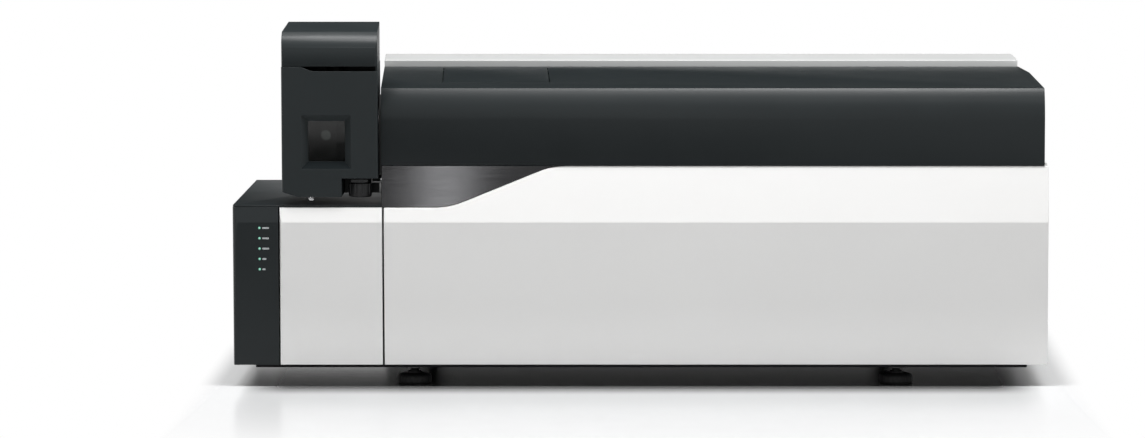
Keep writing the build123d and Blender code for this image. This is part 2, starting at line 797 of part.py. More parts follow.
with BuildPart() as service_door:
    with BuildSketch(Plane.XY.offset(door_bottom)) as door_plan:
        Polygon(
            (door_left_x, at_depth(0)),
            (door_right_x, at_depth(0)),
            (door_right_x, at_depth(door_return)),
            (door_left_x, at_depth(door_return)),
            align=NONE2,
        )
        fillet(door_plan.vertices().sort_by_distance((door_left_x, front_y))[0], door_corner)
    extrude(amount=door_top - door_bottom)
    with BuildSketch(Plane.YZ.offset(door_left_x)):
        Polygon(*fascia_points(0, overall_depth), align=NONE2)
    extrude(amount=door_right_x - door_left_x, mode=Mode.INTERSECT)
    with BuildSketch(Plane.XY.offset(door_bottom + panel)):
        Polygon(
            (door_left_x + panel, at_depth(0)),
            (door_right_x - panel, at_depth(0)),
            (door_right_x - panel, at_depth(door_return)),
            (door_left_x + panel, at_depth(door_return)),
            align=NONE2,
        )
    door_hollow = extrude(amount=door_top - door_bottom - 2 * panel, mode=Mode.PRIVATE)
    with BuildSketch(Plane.YZ.offset(door_left_x)):
        Polygon(*fascia_points(panel, overall_depth), align=NONE2)
    door_side = extrude(amount=door_right_x - door_left_x, mode=Mode.PRIVATE)
    add(door_hollow & door_side, mode=Mode.SUBTRACT)
    with BuildSketch(Plane.XY.offset(pan_z + 0.6)):
        with Locations((door_pin_x, at_depth(door_pin_depth))):
            Circle(door_pin_radius)
    extrude(amount=door_bottom + panel - pan_z - 0.6)
    with BuildSketch(Plane.XY.offset(door_top - panel)):
        with Locations((door_pin_x, at_depth(door_pin_depth))):
            Circle(door_pin_radius)
    extrude(amount=deck_top - 0.4 - door_top + panel)
service_door.part.label = "service_door"
export_step(service_door.part, "parts/service_door.step")

# ---------------------------------------------------------------- vacuum manifold
manifold_left_x = left_x + manifold_offset
manifold_right_x = right_x - right_margin
manifold_wall = 12.0
manifold_floor = 14.0
manifold_top = 384.0
manifold_mid_x = (manifold_left_x + manifold_right_x) / 2
manifold_mid_y = at_depth(manifold_mid_depth)
manifold_width = manifold_back - manifold_front
manifold_deck = shelf_top + manifold_floor
rail_height = 4.0
rail_top = manifold_deck + rail_height
rail_width = 40.0
rail_left_x = manifold_left_x + 23.0
rail_right_x = manifold_right_x - 23.0
turbo_throat_radius = 56.0
heater_radius = 12.0

with BuildPart() as vacuum_manifold:
    with BuildSketch(Plane.XY.offset(shelf_top)):
        with Locations((manifold_mid_x, manifold_mid_y)):
            RectangleRounded(manifold_length, manifold_width, 8)
    extrude(amount=manifold_top - shelf_top)
    with BuildSketch(Plane.XY.offset(manifold_deck)):
        with Locations((manifold_mid_x, manifold_mid_y)):
            RectangleRounded(
                manifold_length - 2 * manifold_wall,
                manifold_width - 2 * manifold_wall,
                6,
            )
    extrude(amount=manifold_top - manifold_deck, mode=Mode.SUBTRACT)
    with BuildSketch(Plane.XY.offset(manifold_deck)):
        with Locations(((rail_left_x + rail_right_x) / 2, ion_y)):
            Rectangle(rail_right_x - rail_left_x, rail_width)
    extrude(amount=rail_height)
    with BuildSketch(Plane.XY.offset(shelf_top)):
        with Locations(*[(x, manifold_mid_y + 20) for x in turbo_x]):
            Rectangle(2 * turbo_throat_radius - 20, manifold_width - 2 * manifold_wall - 50)
    extrude(amount=manifold_floor, mode=Mode.SUBTRACT)
    with BuildSketch(Plane.YZ.offset(manifold_left_x)):
        with Locations((ion_y, ion_z)):
            Circle(heater_radius + seam)
    extrude(amount=manifold_wall, mode=Mode.SUBTRACT)
vacuum_manifold.part.label = "vacuum_manifold"
export_step(vacuum_manifold.part, "parts/vacuum_manifold.step")

manifold_lid_thick = 12.0
lid_plug = 3.0
viewport_radius = 22.0
viewport_x = manifold_left_x + 130.0

with BuildPart() as manifold_lid:
    with BuildSketch(Plane.XY.offset(manifold_top)):
        with Locations((manifold_mid_x, manifold_mid_y)):
            RectangleRounded(manifold_length, manifold_width, 8)
    extrude(amount=manifold_lid_thick)
    with BuildSketch(Plane.XY.offset(manifold_top - lid_plug)):
        with Locations((manifold_mid_x, manifold_mid_y)):
            RectangleRounded(
                manifold_length - 2 * manifold_wall - 2 * seam,
                manifold_width - 2 * manifold_wall - 2 * seam,
                6 - seam,
            )
    extrude(amount=lid_plug)
    with BuildSketch(Plane.XY.offset(manifold_top + manifold_lid_thick / 2)):
        with Locations((viewport_x, manifold_mid_y)):
            Circle(viewport_radius)
    extrude(amount=manifold_lid_thick / 2, mode=Mode.SUBTRACT)
manifold_lid.part.label = "manifold_lid"
export_step(manifold_lid.part, "parts/manifold_lid.step")

# ---------------------------------------------------------------- atmospheric interface
flange_face_x = left_x + 194.6
cone_tip_x = left_x + 172.0
cone_base_radius = 18.0
cone_tip_radius = 3.0
orifice_radius = 0.8
heater_end_x = manifold_left_x + 19.0

with BuildPart() as interface_flange:
    with BuildSketch(Plane.YZ.offset(flange_face_x)):
        with Locations((ion_y, ion_z)):
            Circle(flange_radius)
            Circle(heater_radius + run_fit, mode=Mode.SUBTRACT)
    extrude(amount=manifold_left_x - flange_face_x)
interface_flange.part.label = "interface_flange"
export_step(interface_flange.part, "parts/interface_flange.step")

with BuildPart() as sampling_cone:
    with BuildSketch(Plane.XY.offset(ion_z)):
        with BuildLine():
            Polyline(
                (cone_tip_x, ion_y + orifice_radius),
                (cone_tip_x, ion_y + cone_tip_radius),
                (flange_face_x - panel, ion_y + cone_base_radius),
                (flange_face_x, ion_y + cone_base_radius),
                (flange_face_x, ion_y + heater_radius),
                (heater_end_x, ion_y + heater_radius),
                (heater_end_x, ion_y + orifice_radius),
                close=True,
            )
        make_face()
    revolve(axis=Axis((0, ion_y, ion_z), (1, 0, 0)), revolution_arc=360)
sampling_cone.part.label = "sampling_cone"
export_step(sampling_cone.part, "parts/sampling_cone.step")

# ---------------------------------------------------------------- ion optics
optic_width = 50.0
optic_top = 358.0
rod_fit = 0.05
guide_rod_radius = 2.0
guide_circle = 9.0
guide_left_x = manifold_left_x + guide_inset
guide_right_x = guide_left_x + guide_length
guide_ring_xs = (guide_left_x + 10.0, guide_right_x - 18.0)
guide_ring_thick = 8.0
quad_rod_radius = 5.5
quad_circle = 10.5
quad_left_xs = (
    guide_right_x + guide_gap,
    guide_right_x + guide_gap + quad_length + 2 * cell_gap + cell_length,
)
quad_ring_inset = 20.0
quad_ring_thick = 12.0
cell_left_x = quad_left_xs[0] + quad_length + cell_gap
cell_bore = 17.0
cell_cap = 5.0
lens_thick = 2.0
lens_bore = 3.0
lens_xs = (
    guide_right_x + 6.0,
    quad_left_xs[0] + quad_length + 6.0,
    quad_left_xs[1] - 8.0,
    quad_left_xs[1] + quad_length + 6.0,
)
detector_left_x = quad_left_xs[1] + quad_length + detector_gap
optic_mid_z = (rail_top + optic_top) / 2
optic_height = optic_top - rail_top

with BuildPart() as ion_guide:
    with BuildSketch(Plane.YZ.offset(guide_left_x)):
        with Locations((ion_y, ion_z)):
            with PolarLocations(guide_circle, 8):
                Circle(guide_rod_radius)
    extrude(amount=guide_right_x - guide_left_x)
    for x in guide_ring_xs:
        with BuildSketch(Plane.YZ.offset(x)):
            with Locations((ion_y, optic_mid_z)):
                Rectangle(optic_width, optic_height)
            with Locations((ion_y, ion_z)):
                Circle(guide_circle - guide_rod_radius / 2, mode=Mode.SUBTRACT)
        extrude(amount=guide_ring_thick)
ion_guide.part.label = "ion_guide"
export_step(ion_guide.part, "parts/ion_guide.step")

with BuildPart() as quad_rods:
    for x in quad_left_xs:
        with BuildSketch(Plane.YZ.offset(x)):
            with Locations((ion_y, ion_z)):
                with PolarLocations(quad_circle, 4):
                    Circle(quad_rod_radius)
        extrude(amount=quad_length)
quad_rods.part.label = "quadrupole_rods"
export_step(quad_rods.part, "parts/quadrupole_rods.step")

with BuildPart() as quad_rings:
    for x in quad_left_xs:
        for ring_x in (x + quad_ring_inset, x + quad_length - quad_ring_inset - quad_ring_thick):
            with BuildSketch(Plane.YZ.offset(ring_x)):
                with Locations((ion_y, optic_mid_z)):
                    Rectangle(optic_width, optic_height)
                with Locations((ion_y, ion_z)):
                    Circle(quad_circle - rod_fit, mode=Mode.SUBTRACT)
                    with PolarLocations(quad_circle, 4):
                        Circle(quad_rod_radius + rod_fit, mode=Mode.SUBTRACT)
            extrude(amount=quad_ring_thick)
quad_rings.part.label = "quadrupole_rings"
export_step(quad_rings.part, "parts/quadrupole_rings.step")

with BuildPart() as collision_cell:
    with BuildSketch(Plane.YZ.offset(cell_left_x)):
        with Locations((ion_y, optic_mid_z)):
            Rectangle(optic_width, optic_height)
    extrude(amount=cell_length)
    with BuildSketch(Plane.YZ.offset(cell_left_x + cell_cap)):
        with Locations((ion_y, ion_z)):
            Circle(cell_bore)
    extrude(amount=cell_length - 2 * cell_cap, mode=Mode.SUBTRACT)
    with BuildSketch(Plane.YZ.offset(cell_left_x)):
        with Locations((ion_y, ion_z)):
            Circle(lens_bore)
    extrude(amount=cell_length, mode=Mode.SUBTRACT)
    with BuildSketch(Plane.XY.offset(optic_top)):
        with Locations((cell_left_x + cell_length / 2, ion_y)):
            Circle(4)
    extrude(amount=manifold_top - lid_plug - optic_top - 2)
collision_cell.part.label = "collision_cell"
export_step(collision_cell.part, "parts/collision_cell.step")

with BuildPart() as lens_plates:
    for x in lens_xs:
        with BuildSketch(Plane.YZ.offset(x)):
            with Locations((ion_y, optic_mid_z)):
                Rectangle(optic_width, optic_height)
            with Locations((ion_y, ion_z)):
                Circle(lens_bore, mode=Mode.SUBTRACT)
        extrude(amount=lens_thick)
lens_plates.part.label = "lens_plates"
export_step(lens_plates.part, "parts/lens_plates.step")

with BuildPart() as detector:
    with BuildSketch(front_plane(ion_depth - optic_width / 2)):
        with BuildLine():
            Polyline(
                (detector_left_x, rail_top),
                (detector_left_x, ion_z - 12),
                (detector_left_x + 10, ion_z - 12),
                (detector_left_x + 16, ion_z + 12),
                (detector_left_x, ion_z + 12),
                (detector_left_x, optic_top),
                (detector_left_x + detector_length, optic_top),
                (detector_left_x + detector_length, rail_top),
                close=True,
            )
        make_face()
    extrude(amount=-optic_width)
detector.part.label = "detector"
export_step(detector.part, "parts/detector.step")

# ---------------------------------------------------------------- turbomolecular pumps
turbo_bottom = 84.0
turbo_base = 40.0
turbo_radius = 64.0
turbo_bore = 57.5
turbo_flange_bottom = 248.0
rotor_radius = 56.0
rotor_hub_radius = 22.0
rotor_shaft_radius = 6.0
rotor_top = 246.0
blade_count = 16
blade_width = 9.0
blade_height = 9.0
blade_thick = 1.6
blade_tilt = 35.0
stage_zs = (150.0, 172.0, 194.0, 216.0)
bearing_depth = 18.0
foreline_radius = 14.0
foreline_bore = 12.0
rotor_floor = turbo_bottom + turbo_base

for index, (x, y) in enumerate(turbo_spots, start=1):
    with BuildPart() as turbo_housing:
        with BuildSketch(Plane.XY.offset(turbo_bottom)):
            with Locations((x, y)):
                Circle(turbo_radius)
        extrude(amount=shelf_top - turbo_bottom)
        with BuildSketch(Plane.XY.offset(turbo_flange_bottom)):
            with Locations((x, y)):
                Circle(turbo_flange_radius)
        extrude(amount=shelf_top - turbo_flange_bottom)
        with BuildSketch(Plane.XY.offset(rotor_floor)):
            with Locations((x, y)):
                Circle(turbo_bore)
        extrude(amount=shelf_top - rotor_floor, mode=Mode.SUBTRACT)
        with BuildSketch(Plane.XY.offset(rotor_floor - bearing_depth)):
            with Locations((x, y)):
                Circle(rotor_shaft_radius + run_fit)
        extrude(amount=bearing_depth, mode=Mode.SUBTRACT)
        for fin in range(4):
            with BuildSketch(Plane.XY.offset(turbo_bottom + 4 + fin * 9)):
                with Locations((x, y)):
                    Circle(turbo_radius)
                    Circle(turbo_radius - 5, mode=Mode.SUBTRACT)
            extrude(amount=4, mode=Mode.SUBTRACT)
        with BuildSketch(front_plane(manifold_mid_depth + turbo_radius / 2)):
            with Locations((x, foreline_z)):
                Circle(foreline_radius + 2)
        extrude(amount=-(turbo_radius / 2 + 6))
        with BuildSketch(Plane.XY.offset(turbo_bottom)):
            with Locations((x, y)):
                Circle(turbo_radius - 6)
                Circle(rotor_shaft_radius + 8, mode=Mode.SUBTRACT)
        extrude(amount=2, mode=Mode.SUBTRACT)
    turbo_housing.part.label = f"turbo_housing_{index}"
    export_step(turbo_housing.part, f"parts/turbo_housing_{index}.step")

    with BuildPart() as turbo_rotor:
        with BuildSketch(Plane.XY.offset(rotor_floor - bearing_depth + seat)):
            with Locations((x, y)):
                Circle(rotor_shaft_radius)
        extrude(amount=rotor_top - rotor_floor + bearing_depth - seat)
        with BuildSketch(Plane.XY.offset(rotor_floor + 6)):
            with Locations((x, y)):
                Circle(rotor_hub_radius)
        extrude(amount=rotor_top - rotor_floor - 12)
        for stage_z in stage_zs:
            blade_plane = Plane((x, y, stage_z), x_dir=(1, 0, 0), z_dir=(0, 0, 1))
            blade = Box(
                rotor_radius - rotor_hub_radius + 1,
                blade_thick,
                blade_height,
                mode=Mode.PRIVATE,
            )
            blade = blade.rotate(Axis.X, blade_tilt)
            blade = blade.translate(((rotor_radius + rotor_hub_radius - 1) / 2 - 0.4, 0, 0))
            with Locations(blade_plane):
                with PolarLocations(0, blade_count):
                    add(blade)
    turbo_rotor.part.label = f"turbo_rotor_{index}"
    export_step(turbo_rotor.part, f"parts/turbo_rotor_{index}.step")

# ---------------------------------------------------------------- foreline pipe
foreline_end = rear_face + 1.0
branch_depth = 440.0
branch_bend = 30.0
flange_thick = 6.0
pipe_front = manifold_mid_depth + turbo_radius + 6

with BuildPart() as foreline_pipe:
    with BuildSketch(front_plane(pipe_front)):
        with Locations((foreline_x, foreline_z)):
            Circle(foreline_radius)
    extrude(amount=-(foreline_end - pipe_front))
    with BuildLine() as branch_path:
        FilletPolyline(
            (turbo_x[1], at_depth(pipe_front), foreline_z),
            (turbo_x[1], at_depth(branch_depth), foreline_z),
            (foreline_x, at_depth(branch_depth), foreline_z),
            radius=branch_bend,
        )
    with BuildSketch(front_plane(pipe_front)):
        with Locations((turbo_x[1], foreline_z)):
            Circle(foreline_radius)
    sweep(path=branch_path.wire())
    with BuildSketch(front_plane(foreline_end - flange_thick)):
        with Locations((foreline_x, foreline_z)):
            Circle(foreline_flange_radius)
    extrude(amount=-flange_thick)
    with BuildSketch(front_plane(foreline_end)):
        with Locations((foreline_x, foreline_z)):
            Circle(foreline_bore)
    extrude(amount=foreline_end - pipe_front - foreline_radius, mode=Mode.SUBTRACT)
foreline_pipe.part.label = "foreline_pipe"
export_step(foreline_pipe.part, "parts/foreline_pipe.step")

# ---------------------------------------------------------------- RF generators
rf_left_xs = (left_x + 450.0, left_x + 660.0)
rf_width = 170.0
rf_front = 206.0
rf_depth = 190.0
rf_height = 118.0
rf_slot_count = 8

for index, x in enumerate(rf_left_xs, start=1):
    with BuildPart() as rf_unit:
        with BuildSketch(Plane.XY.offset(shelf_top)):
            with Locations((x + rf_width / 2, at_depth(rf_front + rf_depth / 2))):
                RectangleRounded(rf_width, rf_depth, 4)
        extrude(amount=rf_height)
        chamfer(rf_unit.edges().group_by(Axis.Z)[-1], 2)
        with BuildSketch(Plane.XY.offset(shelf_top + rf_height)):
            with Locations((x + rf_width / 2, at_depth(rf_front + rf_depth / 2))):
                with GridLocations(rf_width, 16, 1, rf_slot_count):
                    SlotOverall(rf_width * 0.6, 5)
        extrude(amount=-3, mode=Mode.SUBTRACT)
        with BuildSketch(front_plane(rf_front)):
            with Locations((x + rf_width / 2, ion_z)):
                with GridLocations(60, 1, 2, 1):
                    Circle(9)
        extrude(amount=rf_front - manifold_back)
    rf_unit.part.label = f"rf_unit_{index}"
    export_step(rf_unit.part, f"parts/rf_unit_{index}.step")

# ---------------------------------------------------------------- gas control block
gas_left_x = left_x + 232.0
gas_right_x = left_x + 420.0
gas_front = 216.0
gas_back = 396.0
gas_base_height = 46.0
gas_valve_radius = 13.0
gas_valve_height = 52.0
gas_valve_pitch = 56.0
regulator_radius = 17.0
regulator_height = 30.0
gas_mid_x = (gas_left_x + gas_right_x) / 2
gas_mid_y = at_depth((gas_front + gas_back) / 2)

with BuildPart() as gas_block:
    with BuildSketch(Plane.XY.offset(shelf_top)):
        with Locations((gas_mid_x, gas_mid_y)):
            RectangleRounded(gas_right_x - gas_left_x, gas_back - gas_front, 5)
    extrude(amount=gas_base_height)
    chamfer(gas_block.edges().group_by(Axis.Z)[-1], 2)
    with BuildSketch(Plane.XY.offset(shelf_top + gas_base_height)):
        with Locations((gas_mid_x, gas_mid_y - 42)):
            with GridLocations(gas_valve_pitch, 1, 3, 1):
                Circle(gas_valve_radius)
    extrude(amount=gas_valve_height)
    with BuildSketch(Plane.XY.offset(shelf_top + gas_base_height)):
        with Locations((gas_mid_x, gas_mid_y + 34)):
            with GridLocations(gas_valve_pitch, 1, 3, 1):
                Circle(regulator_radius)
    extrude(amount=regulator_height)
    with BuildSketch(Plane.XY.offset(shelf_top + gas_base_height + regulator_height)):
        with Locations((gas_mid_x, gas_mid_y + 34)):
            with GridLocations(gas_valve_pitch, 1, 3, 1):
                RegularPolygon(10, 6)
    extrude(amount=10)
gas_block.part.label = "gas_block"
export_step(gas_block.part, "parts/gas_block.step")

# ---------------------------------------------------------------- electronics bay
supply_left_x = right_x - 250.0
supply_right_x = right_x - 55.0
supply_front = 70.0
supply_back = 340.0
supply_height = 150.0

with BuildPart() as power_supply:
    with BuildSketch(Plane.XY.offset(pan_top)):
        with Locations(
            ((supply_left_x + supply_right_x) / 2, at_depth((supply_front + supply_back) / 2))
        ):
            RectangleRounded(supply_right_x - supply_left_x, supply_back - supply_front, 3)
        with Locations((foot_right_x, at_depth(foot_front_depth))):
            Circle(boss_radius + 2, mode=Mode.SUBTRACT)
    extrude(amount=supply_height)
    chamfer(power_supply.edges().group_by(Axis.Z)[-1], 1.5)
    with BuildSketch(Plane.YZ.offset(supply_left_x)):
        with Locations((at_depth((supply_front + supply_back) / 2), pan_top + supply_height / 2)):
            with GridLocations(18, supply_height, 11, 1):
                SlotOverall(supply_height * 0.6, 6, rotation=90)
    extrude(amount=2, mode=Mode.SUBTRACT)
power_supply.part.label = "power_supply"
export_step(power_supply.part, "parts/power_supply.step")

board_left_x = left_x + 265.0
board_right_x = left_x + 640.0
board_front = 205.0
board_back = rear_inner - 59.0
board_z = 44.0
board_thick = 1.6
board_mid_x = (board_left_x + board_right_x) / 2
board_mid_y = at_depth((board_front + board_back) / 2)
chip_spots = [(-90.0, -90.0), (-20.0, -90.0), (60.0, -70.0), (-100.0, 10.0), (-30.0, 40.0)]
chip_size = 34.0
chip_height = 4.0
edge_connector_height = 12.0

with BuildPart() as main_board:
    with BuildSketch(Plane.XY.offset(board_z)):
        with Locations((board_mid_x, board_mid_y)):
            Rectangle(board_right_x - board_left_x, board_back - board_front)
    extrude(amount=board_thick)
    with BuildSketch(Plane.XY.offset(pan_top)):
        with Locations((board_mid_x, board_mid_y)):
            with GridLocations(
                (board_right_x - board_left_x - 16) / 2, board_back - board_front - 16, 3, 2
            ):
                RegularPolygon(4, 6)
    extrude(amount=board_z - pan_top)
    with BuildSketch(Plane.XY.offset(board_z + board_thick)):
        with Locations(*[(board_mid_x + x, board_mid_y + y) for x, y in chip_spots]):
            Rectangle(chip_size, chip_size)
    extrude(amount=chip_height)
    with BuildSketch(Plane.XY.offset(board_z + board_thick)):
        with Locations((board_mid_x, board_mid_y + (board_back - board_front) / 2 - 12)):
            with GridLocations(70, 1, 5, 1):
                Rectangle(52, 12)
    extrude(amount=edge_connector_height)
main_board.part.label = "main_board"
export_step(main_board.part, "parts/main_board.step")

# ---------------------------------------------------------------- cooling fans
fan_front = rear_inner - fan_thick
fan_motor_radius = 20.0
fan_motor_thick = 5.0
fan_strut = 4.0
fan_hub_radius = 20.0
fan_tip_radius = 54.5
fan_hub_front = fan_front + fan_motor_thick + 0.8
fan_hub_depth = rear_inner - 1.2 - fan_hub_front
fan_shaft_radius = 3.0
fan_blade_count = 7
fan_blade_thick = 1.8
fan_root_chord = 20.0
fan_tip_chord = 30.0
fan_root_pitch = 42.0
fan_tip_pitch = 26.0

with BuildPart() as fan_frames:
    with BuildSketch(front_plane(fan_front)):
        with Locations(*fan_spots):
            RectangleRounded(fan_size, fan_size, 6)
            Circle(fan_ring_radius, mode=Mode.SUBTRACT)
    extrude(amount=-fan_thick)
    with BuildSketch(front_plane(fan_front)):
        with Locations(*fan_spots):
            Circle(fan_motor_radius)
            with PolarLocations(0, 4, start_angle=45):
                with Locations((fan_ring_radius / 2, 0)):
                    Rectangle(fan_ring_radius + 2, fan_strut)
            Circle(fan_shaft_radius + run_fit, mode=Mode.SUBTRACT)
    extrude(amount=-fan_motor_thick)
fan_frames.part.label = "fan_frames"
export_step(fan_frames.part, "parts/fan_frames.step")

for index, fan_x in enumerate(fan_xs, start=1):
    with BuildPart() as fan_impeller:
        with BuildSketch(front_plane(fan_hub_front)):
            with Locations((fan_x, fan_z)):
                Circle(fan_hub_radius)
        extrude(amount=-fan_hub_depth)
        fillet(fan_impeller.edges().group_by(Axis.Y)[-1], 2)
        with BuildSketch(front_plane(fan_front + 1)):
            with Locations((fan_x, fan_z)):
                Circle(fan_shaft_radius)
        extrude(amount=-(fan_hub_front - fan_front))
        blade_mid_y = at_depth(fan_hub_front + fan_hub_depth / 2)
        for turn in range(fan_blade_count):
            angle = radians(turn * 360 / fan_blade_count)
            spoke = Vector(cos(angle), 0, sin(angle))
            around = Vector(-sin(angle), 0, cos(angle))
            hub_centre = Vector(fan_x, blade_mid_y, fan_z)
            for reach, chord, pitch in (
                (fan_hub_radius - 2, fan_root_chord, fan_root_pitch),
                (fan_tip_radius - 1, fan_tip_chord, fan_tip_pitch),
            ):
                lean = Vector(0, sin(radians(pitch)), 0) + around * cos(radians(pitch))
                place = Plane(hub_centre + spoke * reach, x_dir=lean, z_dir=spoke)
                with BuildSketch(place):
                    Rectangle(chord, fan_blade_thick)
            loft()
    fan_impeller.part.label = f"fan_impeller_{index}"
    export_step(fan_impeller.part, f"parts/fan_impeller_{index}.step")

guard_wire = 2.2
guard_ring_radii = (18.0, 31.0, 44.0)

with BuildPart() as fan_guards:
    with BuildSketch(front_plane(rear_face)):
        with Locations(*fan_spots):
            Circle(fan_ring_radius + 3)
            Circle(fan_ring_radius - 1, mode=Mode.SUBTRACT)
            for radius in guard_ring_radii:
                Circle(radius + guard_wire / 2)
                Circle(radius - guard_wire / 2, mode=Mode.SUBTRACT)
            with PolarLocations(0, 4, start_angle=45):
                with Locations((fan_ring_radius / 2 + guard_ring_radii[0] / 2, 0)):
                    Rectangle(fan_ring_radius - guard_ring_radii[0], guard_wire)
    extrude(amount=-guard_wire)
fan_guards.part.label = "fan_guards"
export_step(fan_guards.part, "parts/fan_guards.step")

# ---------------------------------------------------------------- rear connections
socket_depth = 30.0
socket_wall = 3.0
rocker_cavity = 10.7
rocker_depth = 14.0
rocker_width = 20.0
rocker_pin_depth = rear_face - 8.0
rocker_pin_radius = 1.5
bezel = 3.0
bezel_thick = 1.5
socket_pin_width = 6.0

with BuildPart() as power_inlet:
    with BuildSketch(front_plane(rear_face - socket_depth)):
        with Locations((inlet_x, inlet_z)):
            Rectangle(inlet_width - 2 * run_fit, inlet_height - 2 * run_fit)
        with Locations((inlet_x, switch_z)):
            Rectangle(switch_width - 2 * run_fit, switch_height - 2 * run_fit)
        with Locations((inlet_x, (inlet_z + switch_z) / 2)):
            Rectangle(rocker_width, switch_z - inlet_z)
    extrude(amount=-(socket_depth - panel - 1))
    with BuildSketch(front_plane(rear_face - socket_depth)):
        with Locations((inlet_x, inlet_z)):
            Rectangle(inlet_width - 2 * run_fit, inlet_height - 2 * run_fit)
        with Locations((inlet_x, switch_z)):
            Rectangle(switch_width - 2 * run_fit, switch_height - 2 * run_fit)
    extrude(amount=-socket_depth)
    with BuildSketch(front_plane(rear_face)):
        with Locations((inlet_x, (inlet_z + switch_z) / 2)):
            Rectangle(
                inlet_width + 2 * bezel,
                switch_z - inlet_z + (inlet_height + switch_height) / 2 + 2 * bezel,
            )
    extrude(amount=-bezel_thick)
    with BuildSketch(front_plane(rear_face + bezel_thick)):
        with Locations((inlet_x, inlet_z)):
            RectangleRounded(inlet_width - 4 * socket_wall, inlet_height - 2 * socket_wall, 3)
        with Locations((inlet_x, switch_z)):
            Rectangle(rocker_width + 2 * seat, 2 * rocker_cavity)
    extrude(amount=rocker_depth + bezel_thick, mode=Mode.SUBTRACT)
    with BuildSketch(front_plane(rear_face - 2)):
        with Locations((inlet_x, inlet_z)):
            with GridLocations(12, 1, 3, 1):
                Rectangle(2, socket_pin_width)
    extrude(amount=rocker_depth)
    with BuildSketch(Plane.YZ.offset(inlet_x - rocker_width / 2 - socket_wall)):
        with Locations((at_depth(rocker_pin_depth), switch_z)):
            Circle(rocker_pin_radius + run_fit)
    extrude(amount=rocker_width + 2 * socket_wall, mode=Mode.SUBTRACT)
power_inlet.part.label = "power_inlet"
export_step(power_inlet.part, "parts/power_inlet.step")

rocker_lift = 2.2
rocker_half = 7.8
rocker_face_depth = rear_face - 1.2
rocker_tail = 3.0

with BuildPart() as power_rocker:
    with BuildSketch(Plane.YZ.offset(inlet_x - rocker_width / 2)):
        Polygon(
            (at_depth(rocker_pin_depth - rocker_tail), switch_z - rocker_half + 2),
            (at_depth(rocker_face_depth + rocker_lift), switch_z - rocker_half),
            (at_depth(rocker_face_depth), switch_z),
            (at_depth(rocker_face_depth - 0.3), switch_z + rocker_half),
            (at_depth(rocker_pin_depth - rocker_tail), switch_z + rocker_half - 2),
            align=NONE2,
        )
    extrude(amount=rocker_width)
    with BuildSketch(Plane.YZ.offset(inlet_x - rocker_width / 2 - socket_wall + 1)):
        with Locations((at_depth(rocker_pin_depth), switch_z)):
            Circle(rocker_pin_radius)
    extrude(amount=rocker_width + 2 * socket_wall - 2)
power_rocker.part.label = "power_rocker"
export_step(power_rocker.part, "parts/power_rocker.step")

gas_nut_flats = 17.0
gas_nut_thick = 4.0
gas_tube_bore = 3.0
gas_fitting_end = rear_face - 2.0
gas_tail = 14.0

with BuildPart() as gas_ports:
    with BuildSketch(front_plane(rear_face - port_recess)):
        with Locations(*gas_spots):
            RegularPolygon(gas_nut_flats / 2, 6, major_radius=False)
    extrude(amount=-gas_nut_thick)
    with BuildSketch(front_plane(rear_face - port_recess - port_wall - gas_tail)):
        with Locations(*gas_spots):
            Circle(gas_port_radius - run_fit)
    extrude(amount=-(gas_fitting_end - rear_face + port_recess + port_wall + gas_tail))
    with BuildSketch(front_plane(rear_face - port_recess - port_wall)):
        with Locations(*gas_spots):
            RegularPolygon(gas_nut_flats / 2, 6, major_radius=False)
    extrude(amount=gas_nut_thick)
    with BuildSketch(front_plane(gas_fitting_end)):
        with Locations(*gas_spots):
            Circle(gas_tube_bore)
    extrude(amount=port_recess + port_wall + gas_tail, mode=Mode.SUBTRACT)
gas_ports.part.label = "gas_ports"
export_step(gas_ports.part, "parts/gas_ports.step")

data_jack_width = 16.0
data_jack_height = 13.0
data_jack_count = 4
data_jack_pitch = 22.0
data_body_depth = 24.0

with BuildPart() as data_ports:
    with BuildSketch(front_plane(rear_face - data_body_depth)):
        with Locations((data_x, data_z)):
            Rectangle(data_width - 2 * seat, data_height - 2 * seat)
    extrude(amount=-(data_body_depth + 1))
    with BuildSketch(front_plane(rear_face + 1)):
        with Locations((data_x, data_z)):
            with GridLocations(data_jack_pitch, 1, data_jack_count, 1):
                Rectangle(data_jack_width, data_jack_height)
    extrude(amount=14, mode=Mode.SUBTRACT)
data_ports.part.label = "data_ports"
export_step(data_ports.part, "parts/data_ports.step")

# ---------------------------------------------------------------- service compartment
bracket_left_x = left_x + 72.0
bracket_right_x = left_x + 192.0
bracket_depth = 150.0
bracket_height = 150.0
tray_front = 40.0
tray_height = 14.0
valve_x = left_x + 125.0
valve_z = 128.0
valve_radius = 24.0
valve_length = 44.0
valve_port_circle = 15.0
valve_port_radius = 4.0
valve_port_length = 9.0

with BuildPart() as valve_bracket:
    with BuildSketch(Plane.YZ.offset(bracket_left_x)):
        Polygon(
            (at_depth(tray_front), pan_top),
            (at_depth(tray_front), pan_top + tray_height),
            (at_depth(tray_front + 2), pan_top + tray_height),
            (at_depth(tray_front + 2), pan_top + 2),
            (at_depth(bracket_depth), pan_top + 2),
            (at_depth(bracket_depth), pan_top + bracket_height),
            (at_depth(bracket_depth + 2), pan_top + bracket_height),
            (at_depth(bracket_depth + 2), pan_top),
            align=NONE2,
        )
    extrude(amount=bracket_right_x - bracket_left_x)
    for x in (bracket_left_x, bracket_right_x - 2):
        with BuildSketch(Plane.YZ.offset(x)):
            Polygon(
                (at_depth(tray_front), pan_top),
                (at_depth(tray_front), pan_top + tray_height),
                (at_depth(bracket_depth), pan_top + tray_height),
                (at_depth(bracket_depth), pan_top),
                align=NONE2,
            )
        extrude(amount=2)
valve_bracket.part.label = "valve_bracket"
export_step(valve_bracket.part, "parts/valve_bracket.step")

